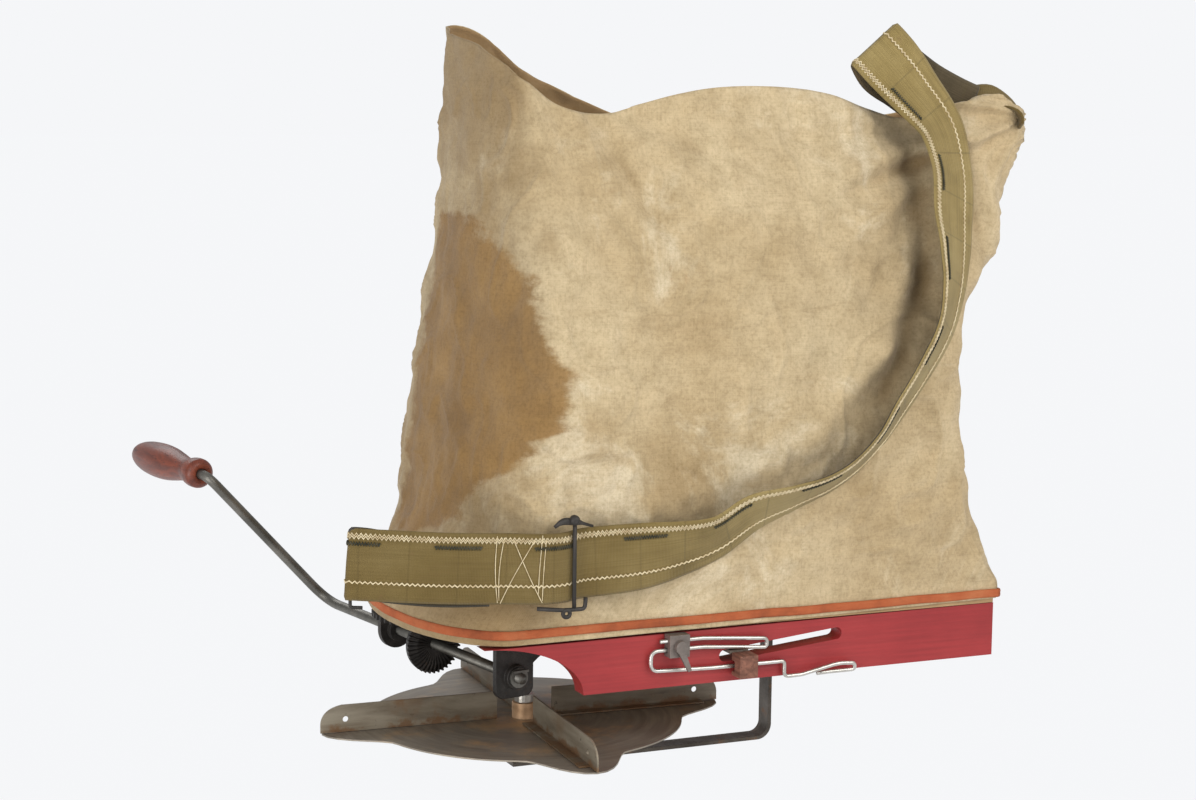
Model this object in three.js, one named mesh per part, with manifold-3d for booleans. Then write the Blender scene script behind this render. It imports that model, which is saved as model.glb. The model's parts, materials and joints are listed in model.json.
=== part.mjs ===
// Hand-cranked broadcast seed sower: a canvas seed bag on a wooden base board, carried on a
// webbing shoulder strap. A crank drives a four-vane spinning distributor through gears.
// Millimetres. X runs along the board from the rounded nose to the square end, -Y is the near
// side with the feed gate and its gauge wire, +Z is up. The working zero of every sub-part is
// the nose centre at the height of the binding tape; the whole is moved at the end so that its
// origin is the top of the strap's shoulder loop.
import * as THREE from 'three';
import { mergeVertices } from 'three/addons/utils/BufferGeometryUtils.js';
import Module from 'manifold-3d';

const wasm = await Module();
wasm.setup();

// ---- driving dimensions ----
const gap = 0.3;
const board = { length: 398, halfWidth: 120, nose: 60, top: 4, bottom: -8, inset: 3.4 };
const cloth = { outer: 0.6, inner: 2.7 };
const tape = { outer: -1.5, inner: -0.3, low: -3, high: 3.2 };
const rail = { thickness: 16, bottom: -49.2, end: 395, cutCentre: -25, cutLength: 77, cutHeight: 39 };
const slot = { left: 160, right: 262, leftZ: -30, rightZ: -21, half: 4.5 };
const shaftAngle = THREE.MathUtils.degToRad(10);
const shaft = { radius: 4, z: -44.5, nearX: 19.5, nearY: -62, toApex: 108, toFar: 176, tail: 13 };
const crankArm = { across: 106.5, up: 113.5, at: 186, shaftBend: 22, gripBend: 12 };
const grip = { start: 12, length: 122, bore: 4.3 };
const bore = 4.3;
const bevel = { teeth: 36, pinionTeeth: 12, module: 23 / 18, inner: 0.685, addendum: 0.95, dedendum: 1.3 };
const spur = { teeth: 50, pinionTeeth: 19, module: 2, low: -19.5, high: -15.5, addendum: 1.6, dedendum: 2.1 };
const frameDepth = 4;
const stud = { radius: 3, bottom: -31 };
const plate = { z: -95.2, thickness: 1.2, radius: 120, tip: 158, lobe: 20 };
const vane = { turn: -3, root: 22, tip: 159, height: 21, thickness: 1.4, foot: 9, sheet: 1.2 };
const hub = { radius: 9.5, low: -106, high: -82, flange: 20 };
const spindle = { radius: 4, top: 15, bottom: -126 };
const hanger = { x: 262, z: -129, thick: 3, width: 16, bend: 12, foot: 34 };
const feed = { x: 124, radius: 12, opening: 25, plateHalf: 35, plateThick: 1.2 };
const gate = { left: 110, right: 183, halfWidth: 42, thick: 2.4, z: -11, armLeft: 168, armZ: -27.5 };
const block = { left: 169, right: 184, back: -118.2, front: -133, top: -27.4, bottom: -44.5 };
const wire = { radius: 1.5, y: -120.4 };
const clamp = { left: 115, right: 131, top: -9, bottom: -25.5, back: -117.4, front: -127 };
const strap = { width: 50, thickness: 2.4 };
const hang = { x: 304, y: -69, z: 417.2 };

// ---- colours ----
function paint(colour, roughness, metalness) {
  return new THREE.MeshStandardMaterial({ color: colour, roughness, metalness });
}
const canvasPaint = paint(0xcdbb92, 0.95, 0);
const tapePaint = paint(0xb9602c, 0.85, 0);
const webbingPaint = paint(0x857340, 0.9, 0);
const redPaint = paint(0x9c3134, 0.6, 0);
const boardPaint = paint(0x9a7447, 0.8, 0);
const ironPaint = paint(0x2b2724, 0.7, 0.6);
const sheetPaint = paint(0x57504a, 0.5, 0.8);
const steelPaint = paint(0x8f8b80, 0.35, 0.9);
const hubPaint = paint(0xa98460, 0.4, 0.8);
const gripPaint = paint(0x7a4030, 0.5, 0);
const blockPaint = paint(0x5b3c30, 0.8, 0);
const zincPaint = paint(0x8d9186, 0.55, 0.8);

// ---- solids ----
function solidOf(geometry) {
  const bare = geometry.clone();
  bare.deleteAttribute('normal');
  bare.deleteAttribute('uv');
  const merged = mergeVertices(bare, 1e-4);
  const vertProperties = new Float32Array(merged.attributes.position.array);
  const triVerts = new Uint32Array(merged.index.array);
  return new wasm.Manifold(new wasm.Mesh({ numProp: 3, vertProperties, triVerts }));
}

function geometryOf(solid) {
  const mesh = solid.getMesh();
  const geometry = new THREE.BufferGeometry();
  geometry.setAttribute('position', new THREE.BufferAttribute(new Float32Array(mesh.vertProperties), 3));
  geometry.setIndex(new THREE.BufferAttribute(new Uint32Array(mesh.triVerts), 1));
  return geometry;
}

function cut(geometry, ...cutters) {
  return geometryOf(cutters.reduce((solid, cutter) => solid.subtract(solidOf(cutter)), solidOf(geometry)));
}

function join(...geometries) {
  return geometryOf(geometries.map(solidOf).reduce((one, other) => one.add(other)));
}

function boxBetween(low, high) {
  const size = high.map((value, i) => value - low[i]);
  const middle = high.map((value, i) => (value + low[i]) / 2);
  return new THREE.BoxGeometry(...size).translate(...middle);
}

// A rod standing on z = low, centred on x, y.
function post(x, y, radius, low, high, sides = 20) {
  return new THREE.CylinderGeometry(radius, radius, high - low, sides)
    .rotateX(Math.PI / 2).translate(x, y, (low + high) / 2);
}

// A ring or stepped bush turned about Z from a closed profile of [radius, z] points.
function turned(profile, sides = 20) {
  const points = [...profile, profile[0]].map(([r, z]) => new THREE.Vector2(r, z));
  return new THREE.LatheGeometry(points, sides).rotateX(Math.PI / 2);
}

function sleeve(inner, outer, low, high, sides = 20) {
  return turned([[inner, low], [outer, low], [outer, high], [inner, high]], sides);
}

function extruded(shape, depth, curveSegments = 12) {
  return new THREE.ExtrudeGeometry(shape, { depth, bevelEnabled: false, curveSegments });
}

function shapeOf(points) {
  return new THREE.Shape(points.map(([x, y]) => new THREE.Vector2(x, y)));
}

// A wall drawn in the XZ plane, from yLow through its thickness.
function wall(shape, yLow, thickness) {
  return extruded(shape, thickness).rotateX(Math.PI / 2).translate(0, yLow + thickness, 0);
}

function facingOut(geometry) {
  const p = geometry.attributes.position;
  const index = geometry.index;
  const a = new THREE.Vector3();
  const b = new THREE.Vector3();
  const c = new THREE.Vector3();
  let volume = 0;
  for (let i = 0; i < index.count; i += 3) {
    a.fromBufferAttribute(p, index.getX(i));
    b.fromBufferAttribute(p, index.getX(i + 1));
    c.fromBufferAttribute(p, index.getX(i + 2));
    volume += a.dot(b.cross(c));
  }
  if (volume < 0) {
    for (let i = 0; i < index.count; i += 3) {
      const first = index.getX(i);
      index.setX(i, index.getX(i + 1));
      index.setX(i + 1, first);
    }
  }
  return geometry;
}

// Skins a row of equal rings of points. A looped row closes on itself, and an open one is capped.
function loft(rings, looped) {
  const count = rings[0].length;
  const positions = rings.flat().flatMap((point) => [point.x, point.y, point.z]);
  const triangles = [];
  const rows = looped ? rings.length : rings.length - 1;
  for (let row = 0; row < rows; row += 1) {
    const next = (row + 1) % rings.length;
    for (let i = 0; i < count; i += 1) {
      const j = (i + 1) % count;
      const [a, b, c, d] = [row * count + i, row * count + j, next * count + j, next * count + i];
      triangles.push(a, b, c, a, c, d);
    }
  }
  if (!looped) {
    const last = (rings.length - 1) * count;
    for (let i = 1; i < count - 1; i += 1) {
      triangles.push(0, i + 1, i, last, last + i, last + i + 1);
    }
  }
  const geometry = new THREE.BufferGeometry();
  geometry.setAttribute('position', new THREE.Float32BufferAttribute(positions, 3));
  geometry.setIndex(triangles);
  return facingOut(geometry);
}

// A path through corner points, with each inner corner rounded over the given length.
function roundedPath(corners, rounding) {
  const points = corners.map((corner) => new THREE.Vector3(...corner));
  const path = new THREE.CurvePath();
  let from = points[0];
  for (let i = 1; i < points.length - 1; i += 1) {
    const reach = Array.isArray(rounding) ? rounding[i - 1] : rounding;
    const before = points[i].clone().sub(points[i - 1]).setLength(reach);
    const after = points[i + 1].clone().sub(points[i]).setLength(reach);
    const start = points[i].clone().sub(before);
    const end = points[i].clone().add(after);
    path.add(new THREE.LineCurve3(from, start));
    path.add(new THREE.QuadraticBezierCurve3(start, points[i], end));
    from = end;
  }
  path.add(new THREE.LineCurve3(from, points[points.length - 1]));
  return path;
}

function rodAlong(path, radius, sides, steps) {
  const section = new THREE.Shape();
  for (let i = 0; i < sides; i += 1) {
    const angle = (i / sides) * Math.PI * 2;
    const place = i ? 'lineTo' : 'moveTo';
    section[place](radius * Math.cos(angle), radius * Math.sin(angle));
  }
  return new THREE.ExtrudeGeometry(section, { steps, extrudePath: path, bevelEnabled: false });
}

function node(name, geometry, material) {
  const mesh = new THREE.Mesh(geometry, material);
  mesh.name = name;
  return mesh;
}

// ---- base board, rails, tape ----
function boardOutline(inset) {
  const halfWidth = board.halfWidth - inset;
  const end = board.length - inset;
  const shape = new THREE.Shape();
  shape.moveTo(end, -halfWidth);
  shape.lineTo(end, halfWidth);
  shape.lineTo(0, halfWidth);
  shape.absellipse(0, 0, board.nose - inset, halfWidth, Math.PI / 2, Math.PI * 1.5, false);
  shape.lineTo(end, -halfWidth);
  return shape;
}

function baseBoard(spindleX, screwPlaces) {
  const slab = extruded(boardOutline(board.inset), board.top - board.bottom, 24).translate(0, 0, board.bottom);
  const pilots = screwPlaces.map(([x, y]) => post(x, y, 1.9, board.bottom - 1, board.bottom + 8.5, 10));
  const spindleHole = post(spindleX, 0, 6.5, board.bottom - 1, board.top + 1);
  const { x, opening } = feed;
  const feedOpening = boxBetween([x - opening, -opening, board.bottom - 1], [x + opening, opening, board.top + 1]);
  return cut(slab, spindleHole, feedOpening, ...pilots);
}

function bindingTape() {
  const band = boardOutline(tape.outer);
  band.holes.push(boardOutline(tape.inner));
  return extruded(band, tape.high - tape.low, 36).translate(0, 0, tape.low);
}

// The rail's lower nose corner is a long concave quarter ellipse.
function railOutline(start) {
  const top = board.bottom - gap;
  const startHeight = Math.sqrt(1 - ((start - rail.cutCentre) / rail.cutLength) ** 2);
  const startAngle = Math.asin(startHeight);
  const shape = new THREE.Shape();
  shape.moveTo(start, top);
  shape.absellipse(rail.cutCentre, rail.bottom, rail.cutLength, rail.cutHeight, startAngle, 0, true);
  shape.lineTo(rail.end, rail.bottom);
  shape.lineTo(rail.end, top);
  shape.closePath();
  return shape;
}

function slotOutline() {
  const slope = Math.atan2(slot.rightZ - slot.leftZ, slot.right - slot.left);
  const path = new THREE.Path();
  path.absarc(slot.right - slot.half, slot.rightZ, slot.half, slope - Math.PI / 2, slope + Math.PI / 2, false);
  path.absarc(slot.left + slot.half, slot.leftZ, slot.half, slope + Math.PI / 2, slope + Math.PI * 1.5, false);
  path.closePath();
  return path;
}

function nearRail() {
  const shape = railOutline(rail.cutCentre + 1);
  shape.holes.push(slotOutline());
  return wall(shape, -board.halfWidth + board.inset, rail.thickness);
}

function farRail() {
  return wall(railOutline(14), board.halfWidth - board.inset - rail.thickness, rail.thickness);
}

// ---- canvas bag ----
// Levels of the bag's outside: height, nose end, square end, near side, far side, depth of the nose's curve.
const bagLevels = [
  [-8, -59.4, 397.4, -119.4, 119.4, 60],
  [6, -59.6, 397.6, -119.6, 119.6, 60],
  [14, -56, 392, -121, 121, 60],
  [50, -38, 380, -126, 126, 57],
  [130, -25, 362, -127, 126, 48],
  [210, -10, 367, -117, 116, 41],
  [290, 2, 408, -97, 98, 34],
  [340, 3, 418, -79, 81, 30],
];
const mouth = { nose: 2, end: 424, near: -62, far: 64, depth: 26 };
// The mouth's edge dips behind the nose corner, and sags again before the square end.
const nearRim = [
  [-10, 424], [8, 399], [29, 383], [50, 369], [76, 363], [96, 364], [115, 370], [163, 381],
  [213, 384], [272, 378], [306, 367], [337, 361], [365, 370], [398, 382], [424, 366],
];
const farRim = [
  [-10, 424], [34, 424], [58, 408], [71, 397], [104, 380], [129, 369], [160, 358], [220, 352], [300, 351], [424, 366],
];

function heightOn(rim, x) {
  let i = 0;
  while (i < rim.length - 2 && x > rim[i + 1][0]) i += 1;
  const share = THREE.MathUtils.clamp((x - rim[i][0]) / (rim[i + 1][0] - rim[i][0]), 0, 1);
  return THREE.MathUtils.lerp(rim[i][1], rim[i + 1][1], share * share * (3 - 2 * share));
}

function bagRing([nose, end, near, far, depth], inset, heightAt) {
  const sideSteps = 9;
  const noseSteps = 26;
  const endSteps = 4;
  const centre = (near + far) / 2;
  const half = (far - near) / 2 - inset;
  const start = nose + depth;
  const points = [];
  for (let i = 0; i < sideSteps; i += 1) {
    points.push([THREE.MathUtils.lerp(end - inset, start, i / sideSteps), centre + half]);
  }
  for (let i = 0; i < noseSteps; i += 1) {
    const angle = Math.PI / 2 + (i / noseSteps) * Math.PI;
    points.push([start + (depth - inset) * Math.cos(angle), centre + half * Math.sin(angle)]);
  }
  for (let i = 0; i < sideSteps; i += 1) {
    points.push([THREE.MathUtils.lerp(start, end - inset, i / sideSteps), centre - half]);
  }
  for (let i = 0; i < endSteps; i += 1) {
    points.push([end - inset, centre + THREE.MathUtils.lerp(-half, half, i / endSteps)]);
  }
  return points.map(([x, y]) => new THREE.Vector3(x, y, heightAt(x, (y - centre) / half)));
}

function canvasBag() {
  const rimHeight = (x, side) => THREE.MathUtils.lerp(heightOn(nearRim, x), heightOn(farRim, x), (side + 1) / 2);
  const skin = (inset) => {
    const rings = bagLevels.map(([z, ...sides]) => bagRing(sides, inset, () => z));
    const { nose, end, near, far, depth } = mouth;
    rings.push(bagRing([nose, end, near, far, depth], inset, rimHeight));
    return rings;
  };
  const thickness = cloth.inner - cloth.outer;
  return loft([...skin(0), ...skin(thickness).reverse()], true);
}

// ---- shoulder strap ----
// A flat band: each station has a middle point and the direction of its width.
function band(stations, width, thickness) {
  const middles = stations.map(([middle]) => new THREE.Vector3(...middle));
  const path = new THREE.CatmullRomCurve3(middles, false, 'centripetal');
  const widths = new THREE.CatmullRomCurve3(stations.map(([, across]) => new THREE.Vector3(...across).normalize()));
  const steps = (stations.length - 1) * 3;
  const rings = [];
  for (let i = 0; i <= steps; i += 1) {
    const t = i / steps;
    const middle = path.getPoint(t);
    const along = path.getTangent(t);
    const across = widths.getPoint(t);
    across.addScaledVector(along, -across.dot(along)).setLength(width / 2);
    const normal = along.clone().cross(across).setLength(thickness / 2);
    rings.push([[1, 1], [-1, 1], [-1, -1], [1, -1]].map(([side, face]) => (
      middle.clone().addScaledVector(across, side).addScaledVector(normal, face))));
  }
  return loft(rings, false);
}

function shoulderStrap() {
  const up = [0, 0, 1];
  return band([
    [[-117, -112, 55], up],
    [[-70, -129, 53], up],
    [[-20, -137, 52], up],
    [[32, -139, 52], up],
    [[83, -140.5, 54], [-0.2, -0.1, 1]],
    [[112, -142, 57], [-0.35, -0.35, 0.85]],
    [[141, -145, 64], [-0.49, -0.54, 0.68]],
    [[169, -147, 80], [-0.53, -0.6, 0.6]],
    [[201, -150, 90], [-0.49, -0.74, 0.46]],
    [[230, -152, 100], [-0.5, -0.8, 0.36]],
    [[251, -152, 112], [-0.52, -0.8, 0.3]],
    [[270, -151, 129], [-0.55, -0.79, 0.27]],
    [[289, -150, 154], [-0.6, -0.75, 0.27]],
    [[311, -147, 182], [-0.64, -0.72, 0.28]],
    [[329, -143, 211], [-0.7, -0.68, 0.22]],
    [[338, -137, 238], [-0.77, -0.62, 0.15]],
    [[343, -129, 262], [-0.83, -0.54, 0.11]],
    [[348, -118, 287], [-0.9, -0.42, 0.08]],
    [[355, -102, 325], [-0.92, -0.38, 0]],
    [[350, -92, 356], [-0.89, -0.3, -0.2]],
    [[332, -83, 382], [-0.85, -0.15, -0.4]],
    [[314, -75.5, 404], [-0.76, 0, -0.65]],
    [[hang.x, hang.y, hang.z - strap.thickness / 2], [-0.76, 0, -0.65]],
    [[314, -63, 404], [-0.76, 0, -0.65]],
    [[336, -57.5, 392], [-0.66, 0, -0.75]],
    [[361, -54.5, 378], [-0.5, 0, -0.85]],
    [[384, -53, 368], [-0.45, 0, -0.87]],
    [[400, -52.5, 362], [-0.45, 0, -0.87]],
  ], strap.width, strap.thickness);
}

// The end of the strap is folded back behind itself round the end bar, and sewn down.
function strapFold() {
  const up = [0, 0, 1];
  return band([
    [[-117, -106, 55], up],
    [[-70, -123.5, 53], up],
    [[-28, -132.5, 52], up],
  ], strap.width, strap.thickness);
}

function strapBuckle() {
  const x = 32;
  const y = -143.5;
  const corners = [[x - 6, y, 22], [x + 6, y, 22], [x + 6, y, 84], [x - 6, y, 84], [x - 6, y, 25.6]];
  return rodAlong(roundedPath(corners, 3), 1.3, 6, 36);
}

function strapEndBar() {
  const corners = [[-112, -112.5, 27], [-121.5, -108, 27], [-121.5, -108, 83], [-113, -112, 83]];
  return rodAlong(roundedPath(corners, 3), 1.4, 6, 24);
}

// ---- crank, in a frame whose Z is the shaft's axis, from the bevel apex towards the far side ----
const along = new THREE.Vector3(-Math.sin(shaftAngle), Math.cos(shaftAngle), 0);
const apex = new THREE.Vector3(shaft.nearX, shaft.nearY, shaft.z).addScaledVector(along, shaft.toApex);
const nearPlace = -shaft.toApex;
const farPlace = shaft.toFar - shaft.toApex;
const centreDistance = (spur.module * (spur.teeth + spur.pinionTeeth)) / 2;
const spindleX = apex.x + Math.sqrt(centreDistance ** 2 - apex.y ** 2);

function shaftFrame() {
  const up = new THREE.Vector3(0, 0, 1);
  const across = up.clone().cross(along);
  return new THREE.Matrix4().makeBasis(across, up, along).setPosition(apex);
}

function crankRod() {
  const end = crankArm.at + grip.start + grip.length + 5;
  const corners = [
    [0, 0, nearPlace - shaft.tail],
    [0, 0, crankArm.at],
    [crankArm.across, crankArm.up, crankArm.at],
    [crankArm.across, crankArm.up, end],
  ];
  return rodAlong(roundedPath(corners, [crankArm.shaftBend, crankArm.gripBend]), shaft.radius, 8, 62);
}

function crankGrip() {
  const outline = [[8.5, 0], [11.5, 3], [11.5, 14], [9.5, 22], [12.5, 48], [14.5, 72], [13, 102], [9.5, 119], [7.5, 122]];
  const profile = [[grip.bore, 0], ...outline, [grip.bore, grip.length]];
  return turned(profile, 24).translate(crankArm.across, crankArm.up, crankArm.at + grip.start);
}

function gripWasher() {
  const low = crankArm.at + grip.start + grip.length + gap;
  return sleeve(bore, 7, low, low + 1.6, 16).translate(crankArm.across, crankArm.up, 0);
}

function thrustWasher() {
  return sleeve(bore, 7.5, nearPlace - 8.8, nearPlace - 7.2, 16);
}

function cotterPin() {
  const z = nearPlace - 10.6;
  return boxBetween([-6.5, shaft.radius + gap, z - 0.9], [6.5, shaft.radius + gap + 1.8, z + 0.9]);
}

// ---- gears ----
// Four angles and heights for each tooth: root, tip, tip, root.
function toothPoints(teeth, addendum, dedendum) {
  const pitch = (Math.PI * 2) / teeth;
  const corners = [[-0.32, -dedendum], [-0.13, addendum], [0.13, addendum], [0.32, -dedendum]];
  const points = [];
  for (let tooth = 0; tooth < teeth; tooth += 1) {
    corners.forEach(([share, height]) => points.push([(tooth + share) * pitch, height]));
  }
  return points;
}

function spurOutline(teeth) {
  const pitchRadius = (teeth * spur.module) / 2;
  return shapeOf(toothPoints(teeth, spur.addendum, spur.dedendum).map(([angle, height]) => (
    [(pitchRadius + height) * Math.cos(angle), (pitchRadius + height) * Math.sin(angle)])));
}

// A bevel gear about Z with its apex at zero. Plain rings are [radius, z]; the two toothed rings
// lie at the inner and outer ends of the teeth.
function bevelGear(teeth, coneAngle, before, after) {
  const points = toothPoints(teeth, bevel.addendum, bevel.dedendum);
  const reach = (bevel.module * teeth) / 2 / Math.sin(coneAngle);
  const plain = ([radius, z]) => points.map(([angle]) => (
    new THREE.Vector3(radius * Math.cos(angle), radius * Math.sin(angle), z)));
  const toothed = (scale) => points.map(([angle, height]) => {
    const radius = scale * (reach * Math.sin(coneAngle) + height * Math.cos(coneAngle));
    const z = scale * (reach * Math.cos(coneAngle) - height * Math.sin(coneAngle));
    return new THREE.Vector3(radius * Math.cos(angle), radius * Math.sin(angle), z);
  });
  return loft([...before.map(plain), toothed(bevel.inner), toothed(1), ...after.map(plain)], true);
}

const gearCone = Math.atan2(bevel.teeth, bevel.pinionTeeth);
const pinionCone = Math.PI / 2 - gearCone;

function crankGear() {
  const before = [[bore, 6.2]];
  const after = [[22.4, 12], [bore, 15]];
  return bevelGear(bevel.teeth, gearCone, before, after).rotateZ(Math.PI / 2);
}

// The bevel pinion and the large spur wheel are one casting that turns on the stud.
function clusterGear() {
  const meshTurn = Math.atan2(-apex.y, spindleX - apex.x);
  const pinionTurn = shaftAngle + Math.PI / 2 + Math.PI / bevel.pinionTeeth;
  const studBore = stud.radius + 0.25;
  const pinion = bevelGear(bevel.pinionTeeth, pinionCone, [[studBore, 15.2]], [[6, 25.6], [studBore, 25.6]])
    .rotateZ(pinionTurn);
  const outline = spurOutline(spur.teeth);
  outline.holes.push(new THREE.Path().absarc(0, 0, studBore, 0, Math.PI * 2, true));
  const wheel = extruded(outline, spur.high - spur.low, 5)
    .rotateZ(meshTurn).translate(0, 0, spur.low - shaft.z);
  return join(wheel, pinion);
}

function spindlePinion() {
  const meshTurn = Math.atan2(apex.y, apex.x - spindleX) + Math.PI / spur.pinionTeeth;
  const outline = spurOutline(spur.pinionTeeth);
  outline.holes.push(new THREE.Path().absarc(0, 0, bore, 0, Math.PI * 2, true));
  return extruded(outline, spur.high - spur.low + 1.4, 6).rotateZ(meshTurn).translate(0, 0, spur.low - 0.9);
}

// ---- iron frame under the board ----
const underBoard = board.bottom - gap;
const frameTurn = Math.atan2(apex.y, apex.x - spindleX);
const frameEnds = [-25, centreDistance + 25];

function frameBoltPlaces() {
  return frameEnds.map((reach) => {
    const place = reach < 0 ? reach + 8 : reach - 8;
    return [spindleX + place * Math.cos(frameTurn), place * Math.sin(frameTurn)];
  });
}

function gearFrame() {
  const half = 14;
  const [start, end] = frameEnds;
  const shape = new THREE.Shape();
  shape.absarc(start + half, 0, half, Math.PI / 2, Math.PI * 1.5, false);
  shape.absarc(end - half, 0, half, -Math.PI / 2, Math.PI / 2, false);
  shape.closePath();
  const circle = (x, radius) => new THREE.Path().absarc(x, 0, radius, 0, Math.PI * 2, true);
  shape.holes.push(circle(0, bore), circle(centreDistance, stud.radius + gap));
  shape.holes.push(circle(start + 8, 2.2), circle(end - 8, 2.2));
  return extruded(shape, frameDepth, 8).translate(0, 0, underBoard - frameDepth)
    .rotateZ(frameTurn).translate(spindleX, 0, 0);
}

function gearStud() {
  const top = underBoard - 0.2;
  return turned([[0, stud.bottom], [4.2, stud.bottom], [4.2, stud.bottom + 1.2], [stud.radius, stud.bottom + 1.2],
    [stud.radius, top], [0, top]], 16).translate(apex.x, apex.y, 0);
}

const footTop = underBoard - shaft.z;
const footBolts = [-9, 9];

function bracketWithBore(outline, place, footFrom, footTo, bossFrom, bossTo) {
  const thickness = 5;
  const sheet = extruded(outline, thickness, 8).translate(0, 0, place - thickness / 2);
  const foot = boxBetween([-16, footTop - frameDepth, footFrom], [16, footTop, footTo]);
  const boss = post(0, 0, 9, bossFrom, bossTo, 20);
  const hole = post(0, 0, bore, place - 20, place + 20, 20);
  const boltHoles = footBolts.map((x) => (
    new THREE.CylinderGeometry(2.2, 2.2, 12, 10).translate(x, footTop - 2, (footFrom + footTo) / 2)));
  return cut(join(sheet, foot, boss), hole, ...boltHoles);
}

// The near bracket has a web that runs on under the board as a brace.
function nearCrankBracket() {
  const shape = new THREE.Shape();
  shape.moveTo(16, footTop);
  shape.lineTo(-58, footTop);
  shape.lineTo(-58, 22);
  shape.quadraticCurveTo(-30, 20, -16, 8);
  shape.lineTo(-16, -9);
  shape.absarc(-9, -9, 7, Math.PI, Math.PI * 1.5, false);
  shape.absarc(9, -9, 7, Math.PI * 1.5, Math.PI * 2, false);
  shape.closePath();
  return bracketWithBore(shape, nearPlace, nearPlace - 2, nearPlace + 20, nearPlace - 6.8, nearPlace);
}

function farCrankBracket() {
  const shape = new THREE.Shape();
  shape.moveTo(15, footTop);
  shape.lineTo(-15, footTop);
  shape.absarc(0, 0, 15, Math.PI, Math.PI * 2, false);
  shape.closePath();
  return bracketWithBore(shape, farPlace, farPlace - 20, farPlace + 2, farPlace - 6.8, farPlace);
}

// ---- hanger bar, and the step bearing at the spindle's foot ----
function hangerBar() {
  const { x, z, thick, width, bend, foot } = hanger;
  const inner = bend - thick;
  const top = underBoard;
  const shape = new THREE.Shape();
  shape.moveTo(x + foot, top);
  shape.lineTo(x - thick, top);
  shape.lineTo(x - thick, z + inner + thick / 2);
  shape.absarc(x - bend, z + inner + thick / 2, inner, 0, -Math.PI / 2, true);
  shape.lineTo(spindleX - 12, z + thick / 2);
  shape.lineTo(spindleX - 12, z - thick / 2);
  shape.lineTo(x - bend, z - thick / 2);
  shape.absarc(x - bend, z - thick / 2 + bend, bend, -Math.PI / 2, 0, false);
  shape.lineTo(x, top - thick);
  shape.lineTo(x + foot, top - thick);
  shape.closePath();
  const bar = wall(shape, -width / 2, width);
  return cut(bar, ...hangerBoltPlaces().map(([boltX, y]) => post(boltX, y, 2.2, top - thick - 1, top + 1, 10)));
}

function hangerBoltPlaces() {
  return [hanger.x + 11, hanger.x + 25].map((x) => [x, 0]);
}

function stepBearing() {
  const low = hanger.z + hanger.thick / 2 + gap;
  return turned([[0, low], [10, low], [10, low + 9], [spindle.radius + 0.3, low + 9],
    [spindle.radius + 0.3, low + 0.8], [0, low + 0.8]], 20).translate(spindleX, 0, 0);
}

function woodScrew(x, y, headTop) {
  const profile = [[0, headTop - 2.4], [2.6, headTop - 2.4], [4.1, headTop - 1.1], [4.1, headTop],
    [1.6, headTop], [1.6, headTop + 11], [0, headTop + 11]];
  return turned(profile, 10).translate(x, y, 0);
}

// ---- spinner, about its own axis ----
function distributorPlate() {
  const outline = new THREE.Shape();
  const steps = 120;
  for (let i = 0; i < steps; i += 1) {
    const degrees = (i / steps) * 360 + vane.turn;
    const offset = Math.abs(((((degrees - vane.turn) % 90) + 135) % 90) - 45);
    const lift = offset < plate.lobe ? Math.cos((offset / plate.lobe) * (Math.PI / 2)) ** 2 : 0;
    const radius = plate.radius + (plate.tip - plate.radius) * lift;
    const angle = THREE.MathUtils.degToRad(degrees);
    outline[i ? 'lineTo' : 'moveTo'](radius * Math.cos(angle), radius * Math.sin(angle));
  }
  outline.holes.push(new THREE.Path().absarc(0, 0, hub.radius + gap, 0, Math.PI * 2, true));
  return extruded(outline, plate.thickness, 10).translate(0, 0, plate.z);
}

function distributorVane(index) {
  const low = plate.z + plate.thickness + gap;
  const shape = new THREE.Shape();
  shape.moveTo(vane.root, 0);
  shape.lineTo(vane.tip, 0);
  shape.lineTo(vane.tip, 7);
  shape.quadraticCurveTo(vane.tip - 1, 18, vane.tip - 16, vane.height - 0.5);
  shape.lineTo(vane.root, vane.height);
  shape.closePath();
  shape.holes.push(new THREE.Path().absarc(140, 9.5, 2.2, 0, Math.PI * 2, true));
  const upright = wall(shape, -vane.thickness / 2, vane.thickness).translate(0, 0, low);
  const foot = boxBetween([vane.root, -vane.foot, low], [vane.tip - 14, 0, low + vane.sheet]);
  const turn = THREE.MathUtils.degToRad(vane.turn + 90 * index);
  return join(upright, foot).rotateZ(turn);
}

function distributorHub() {
  const under = plate.z - gap;
  return turned([[bore, hub.low], [hub.radius, hub.low], [hub.radius, under - 2], [hub.flange, under - 2],
    [hub.flange, under], [hub.radius, under], [hub.radius, hub.high], [bore, hub.high]], 24);
}

function hubNut() {
  const low = hub.low - 7;
  return cut(post(0, 0, 8, low, hub.low - gap, 6), post(0, 0, bore, low - 1, hub.low, 16));
}

function agitator() {
  const corners = [[0, 0, 9], [0, 0, 19], [42, 0, 19], [42, 0, 10]];
  return cut(
    join(rodAlong(roundedPath(corners, 4), 2, 8, 30), post(0, 0, 7, 9, 20.5, 16)),
    post(0, 0, bore, 5, spindle.top + gap, 16));
}

// ---- feed gate, its block and the gauge wire ----
function feedGate() {
  const { left, right, halfWidth, thick, z, armLeft, armZ } = gate;
  const leaf = boxBetween([left, -halfWidth, z - thick / 2], [right, halfWidth, z + thick / 2]);
  const drop = -96;
  const out = block.back + gap;
  const level = thick / 2;
  const profile = shapeOf([
    [-halfWidth + 2, z + level], [-halfWidth + 2, z - level], [drop + thick, z - level],
    [drop + thick, armZ - level], [out, armZ - level], [out, armZ + level],
    [drop, armZ + level], [drop, z + level],
  ]);
  const arm = extruded(profile, right - armLeft)
    .rotateX(Math.PI / 2).rotateZ(Math.PI / 2).translate(armLeft, 0, 0);
  return join(leaf, arm);
}

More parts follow.
